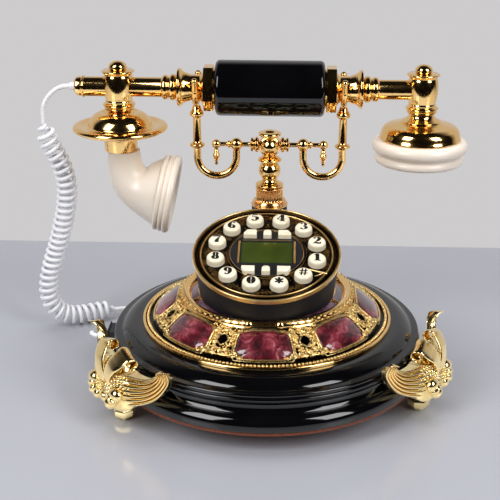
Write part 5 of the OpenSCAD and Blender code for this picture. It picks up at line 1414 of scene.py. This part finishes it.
class TELEPHONE_OT_handset(bpy.types.Operator):
    """Makes the grip, its fittings, the mouthpiece and the receiver"""

    bl_idname = "telephone.handset"
    bl_label = "Handset"

    def execute(self, context):
        half = GRIP_HALF
        axis = (0, POST_Y, HANDSET_Z)
        grip = [
            [[5, -half], [14, -half]],
            arc(14.2, -half + 2.8, 2.8, -90, 0, 10),
            arc(14.2, half - 2.8, 2.8, 0, 90, 10),
            [[14, half], [5, half]],
        ]
        piece("lacquered_grip", [moved(lathe(grip, 144, 0.1), axis, "X")], "lacquer", "handset", ["grip"])
        piece("neck_turnings", neck(1) + neck(-1), "gold", "handset", ["neck_fittings"], sharp=35)

        bell_top = HANDSET_Z - 15
        receiver = HANDSET_Z - 19.6
        low_z = HANDSET_Z - 10
        left = [hub(-END_X, 5.6, 6.2, [[0, bell_top], [6.2, bell_top], [7.2, bell_top + 0.6]])]
        left.append(moved(lathe([[[6, 0], [6, END_X + 20.8]]], 64, 0), axis, "-X"))
        piece("left_turning", left, "gold", "handset", ["left_hub"], sharp=40)
        flare = [[0, receiver], [12.2, receiver], [12, receiver + 1], [10.8, receiver + 1.5], [9.6, receiver + 2.2],
                 [8.7, receiver + 3], [8, receiver + 4], [7.6, low_z - 4.2]]
        right = [hub(END_X, 5.4, 6, flare)]
        piece("right_turning", right, "gold", "handset", ["right_hub"], sharp=40)
        x = END_X + 20.8
        cap = [[
            [0, x], [6.4, x], [6.8, x + 0.6], [6.4, x + 1.4], [5.8, x + 1.6], [6, x + 2.6], [5.8, x + 4.8],
            [4.8, x + 5.8], [2.4, x + 6], [0, x + 6],
        ]]
        piece("ringed_cap", [moved(lathe(cap, 72, 0.12), axis, "-X")], "gold", "handset", ["bar_end_cap"])

        r, z = 29.5, HANDSET_Z - 27.6
        bell = [
            [[0, bell_top], [7, bell_top], [8.2, bell_top - 0.6], [9, bell_top - 2]],
            arc(10, z + 2.2, 9.9, 80, 10, 16),
            [[20.6, z + 3.4], [22, z + 3.2], [24.4, z + 4.0], [26.5, z + 4.2], [28.7, z + 3.6], [r, z + 2.4]],
            [[r - 0.4, z + 1.2], [r - 2.4, z], [r - 8, z - 0.6], [17, z - 0.7], [13, z], [11.4, z - 1], [10.4, z - 4]],
            [[10.2, HANDSET_Z - 40], [0, HANDSET_Z - 40]],
        ]
        bell = moved(lathe(bell, 160, 0.3), (-END_X, POST_Y, 0))
        piece("bell_disc", [bell], "gold", "handset", ["mouthpiece_bell"], sharp=40)
        outside, cup_mid, way = horn_grid(0)
        wall = np.concatenate([outside, horn_grid(2)[0][::-1]])
        piece("horn", [sheet(wall, wrap_rows=True)], "ivory", "handset", ["mouthpiece_horn"], sharp=60)
        h, c = 5.6, 25.0
        cup = [
            [[0, -h], [c - 3.6, -h], [c - 2.6, -h + 0.5]],
            arc(c - 2.4, -h + 2.2, 1.7, -70, 75, 10),
            arc(c - 2.2, -h + 5.4, 1.7, -65, 65, 10),
            arc(c - 2.6, h - 2.6, 2.6, -50, 90, 12),
            [[c - 6, h - 0.6], [c - 8, h - 1.9], [c - 10, h - 2.6], [c - 17, h - 3.0], [0, h - 3]],
        ]
        axes = np.column_stack([np.cross([0, 1, 0], way), [0, 1, 0], way])
        cup = [moved(lathe(cup, 144, 0.2), cup_mid, axes)]
        piece("ridged_cup", cup, "ivory", "handset", ["mouthpiece_cup"], sharp=50)

        top, skirt, ear = receiver, HANDSET_Z - 30, HANDSET_Z - 46
        c = 25.1
        dome = [[
            [0, top], [12.6, top], [13.8, top - 0.6], [16, top - 1.2], [c - 5, top - 2], [c - 3.4, top - 2.8],
            [c - 2, top - 4], [c - 1.1, top - 5.6], [c - 0.6, top - 8], [c - 0.1, skirt + 1.2], [c, skirt + 0.8],
            [c, skirt], [c - 2.2, skirt], [c - 3.4, top - 6], [c - 6, top - 4], [0, top - 3],
        ]]
        place = (END_X, POST_Y, 0)
        piece("receiver_dome", [moved(lathe(dome, 160, 0.3), place)], "gold", "handset", ["receiver_cap"], sharp=45)
        ring = [
            [[0, skirt - 0.05], [r - 5, skirt - 0.05]],
            arc(r - 4.1, skirt - 4.4, 4.1, 80, -75, 22),
            [[r - 3.4, ear + 6.6]],
            arc(r - 4.8, ear + 3.6, 2.8, 60, -75, 14),
            [[r - 8, ear], [r - 12, ear + 2], [0, ear + 2.6]],
        ]
        piece("ivory_ear_rings", [moved(lathe(ring, 160, 0.2), place)], "ivory", "handset", ["ear_ring"], sharp=45)
        return {"FINISHED"}


# ---------- the cord ----------

LEAD = [
    [-123.4, 34.5, 173], [-126.2, 34.5, 172.9], [-129, 34.4, 172.2], [-133, 34.2, 170], [-136.6, 33.8, 166.6],
    [-139.2, 33.4, 162.6], [-140.4, 33, 158], [-140.4, 32.8, 153.4],
]
CURLED = [
    [-140.4, 32.8, 153.4], [-140.4, 32.5, 146.6], [-138.4, 33.2, 139], [-135, 34.4, 131], [-132, 36, 122.6],
    [-130.2, 38, 113.6], [-130.2, 40, 104.4], [-131.6, 42, 95], [-133.8, 44, 85.6], [-136.6, 46, 76],
    [-139.6, 48, 66.4], [-143, 49.6, 56.8], [-146.4, 50.8, 47], [-149, 51.6, 37], [-150, 52.4, 27],
    [-148, 53.6, 17.6], [-141.6, 56, 10.4], [-133, 60, 7.4], [-124, 64.6, 7.2], [-115, 68.6, 7.2], [-105.6, 71, 7.2],
]
TAIL = [
    [-105.6, 71, 7.2], [-102.4, 71.8, 7.2], [-99, 71.6, 5.8], [-97, 68.6, 3.6], [-97.4, 63.6, 2.1], [-100.4, 57, 1.7],
    [-104.4, 49.4, 1.7], [-108, 41, 2.2], [-110.4, 32, 4.8], [-111.2, 23, 9.4], [-111.4, 14, 15], [-111.6, 5.4, 20],
    [-110.8, -2.4, 23.4], [-108, -6.8, 24], [-104.3, -7.5, 24],
]


def curled_line(radius, curls, per_turn):
    """A helix round the cord's route: c + open radius (a cos w + b sin w), where w grows evenly with length.

    a and b are square to the route, and open is smoothstep over the first and last turn and a half."""
    route = evenly(smooth_path(CURLED, 1201), curls * per_turn + 1)
    t = tangents(route)
    a = np.cross(t, (0.0, 1.0, 0.0))
    a /= np.linalg.norm(a, axis=1, keepdims=True)
    b = np.cross(t, a)
    i = np.arange(len(route)) / per_turn
    both = [np.clip(v, 0, 1) for v in ((i - 0.6) / 1.6, (curls - i - 0.6) / 1.6)]
    wide = np.prod([v * v * (3 - 2 * v) for v in both], axis=0)[:, None]
    w = 2 * np.pi * i[:, None]
    return route + radius * wide * (a * np.cos(w) + b * np.sin(w))


class TELEPHONE_OT_cord(bpy.types.Operator):
    """Makes the curly cord from the handset to the base, and its plug"""

    bl_idname = "telephone.cord"
    bl_label = "Cord"

    def execute(self, context):
        sizes = context.scene.telephone_cord
        coil = curled_line(sizes.curl / MM, sizes.curls, 24)
        path = np.vstack([smooth_path(LEAD, 22)[:-1], coil, smooth_path(TAIL, 46)[1:]])
        t = tangents(path)
        up = np.zeros_like(path)
        up[0] = np.cross(t[0], (0, 1, 0))
        for k in range(1, len(path)):
            up[k] = up[k - 1] - t[k] * (up[k - 1] @ t[k])
            up[k] /= np.linalg.norm(up[k])
        side = np.cross(t, up)
        a = around(14)
        radius = sizes.thickness / MM / 2
        grid = path[:, None] + radius * (side[:, None] * np.cos(a)[:, None] + up[:, None] * np.sin(a)[:, None])
        cord = piece("curly_cord", [capped(grid, path)], "cord", None)
        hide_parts("cord_lead", "cord_coil", "cord_tail")
        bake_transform(cord)
        block = closed_line([[-4, -3], [4, -3], [4, 3], [-4, 3]], 32)
        levels = [(0.5, -8), (0.97, -8), (1.0, -7.7), (1.0, 0.5), (0.97, 0.8), (0.5, 0.8)]
        body = stacked(block, levels)
        boot = [[
            [0, 0.7], [3.4, 0.7], [3.3, 2], [2.9, 2.3], [3, 3.2], [2.6, 3.5], [2.7, 4.4], [2.3, 4.8], [2.2, 6.3],
            [0, 6.3],
        ]]
        boot = lathe(boot, 32, 0.1)
        spot = (-PLINTH_R, BASE_Y, 24.0)
        plug = piece("cord_plug", [moved(body, spot, "-X"), moved(boot, spot, "-X")], "cord", "base", ["line_plug"])
        gland = [[0, 119.8], [2.8, 119.8], [2.6, 120.6], [2.4, 121.6], [2.0, 123.1], [1.8, 123.4], [0, 123.4]]
        gland = lathe([gland], 40, 0.1)
        piece("cord_grommet", [moved(gland, (0, POST_Y, HANDSET_Z), "-X")], "cord", "handset", ["cord_gland"])
        return {"FINISHED"}


# ---------- what lies inside ----------


class TELEPHONE_OT_inside(bpy.types.Operator):
    """Paints the parts that are shown as the frame has them"""

    bl_idname = "telephone.inside"
    bl_label = "Inside"

    def execute(self, context):
        paint("purple", "inner_enamels")
        paint("brocade", "dial_face")
        paint("black", "display_frame", "hook_switch", "ringer", "line_socket", "microphone", "receiver_capsule")
        paint("display", "display_window")
        paint("circuit", "key_board", "circuit_board")
        paint("steel", "return_spring")
        return {"FINISHED"}


class TELEPHONE_PT_panel(bpy.types.Panel):
    """Sizes and makers of the telephone"""

    bl_label = "Telephone"
    bl_space_type = "VIEW_3D"
    bl_region_type = "UI"
    bl_category = "Telephone"

    def draw(self, context):
        for group in ("telephone_cord", "telephone_gilding", "telephone_studio"):
            box = self.layout.box()
            settings = getattr(context.scene, group)
            for name in settings.bl_rna.properties.keys():
                if name not in ("rna_type", "name"):
                    box.prop(settings, name)
        for name in STEPS:
            self.layout.operator(f"telephone.{name}")


STEPS = ["stage", "cord", "base", "crown", "feet", "dial", "keys", "cradle", "handset", "inside"]
CLASSES = [
    TelephoneCord,
    TelephoneGilding,
    TelephoneStudio,
    TELEPHONE_OT_stage,
    TELEPHONE_OT_cord,
    TELEPHONE_OT_base,
    TELEPHONE_OT_crown,
    TELEPHONE_OT_feet,
    TELEPHONE_OT_dial,
    TELEPHONE_OT_keys,
    TELEPHONE_OT_cradle,
    TELEPHONE_OT_handset,
    TELEPHONE_OT_inside,
    TELEPHONE_PT_panel,
]


def register():
    """Makes the add-on's classes known, and gives a scene its settings."""
    for kind in CLASSES:
        bpy.utils.register_class(kind)
    bpy.types.Scene.telephone_cord = bpy.props.PointerProperty(type=TelephoneCord)
    bpy.types.Scene.telephone_gilding = bpy.props.PointerProperty(type=TelephoneGilding)
    bpy.types.Scene.telephone_studio = bpy.props.PointerProperty(type=TelephoneStudio)


def unregister():
    """Takes the settings and classes away again."""
    del bpy.types.Scene.telephone_studio
    del bpy.types.Scene.telephone_gilding
    del bpy.types.Scene.telephone_cord
    for kind in reversed(CLASSES):
        bpy.utils.unregister_class(kind)


def main():
    """Registers the add-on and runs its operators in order."""
    register()
    for name in STEPS:
        getattr(bpy.ops.telephone, name)()


if __name__ == "__main__":
    main()
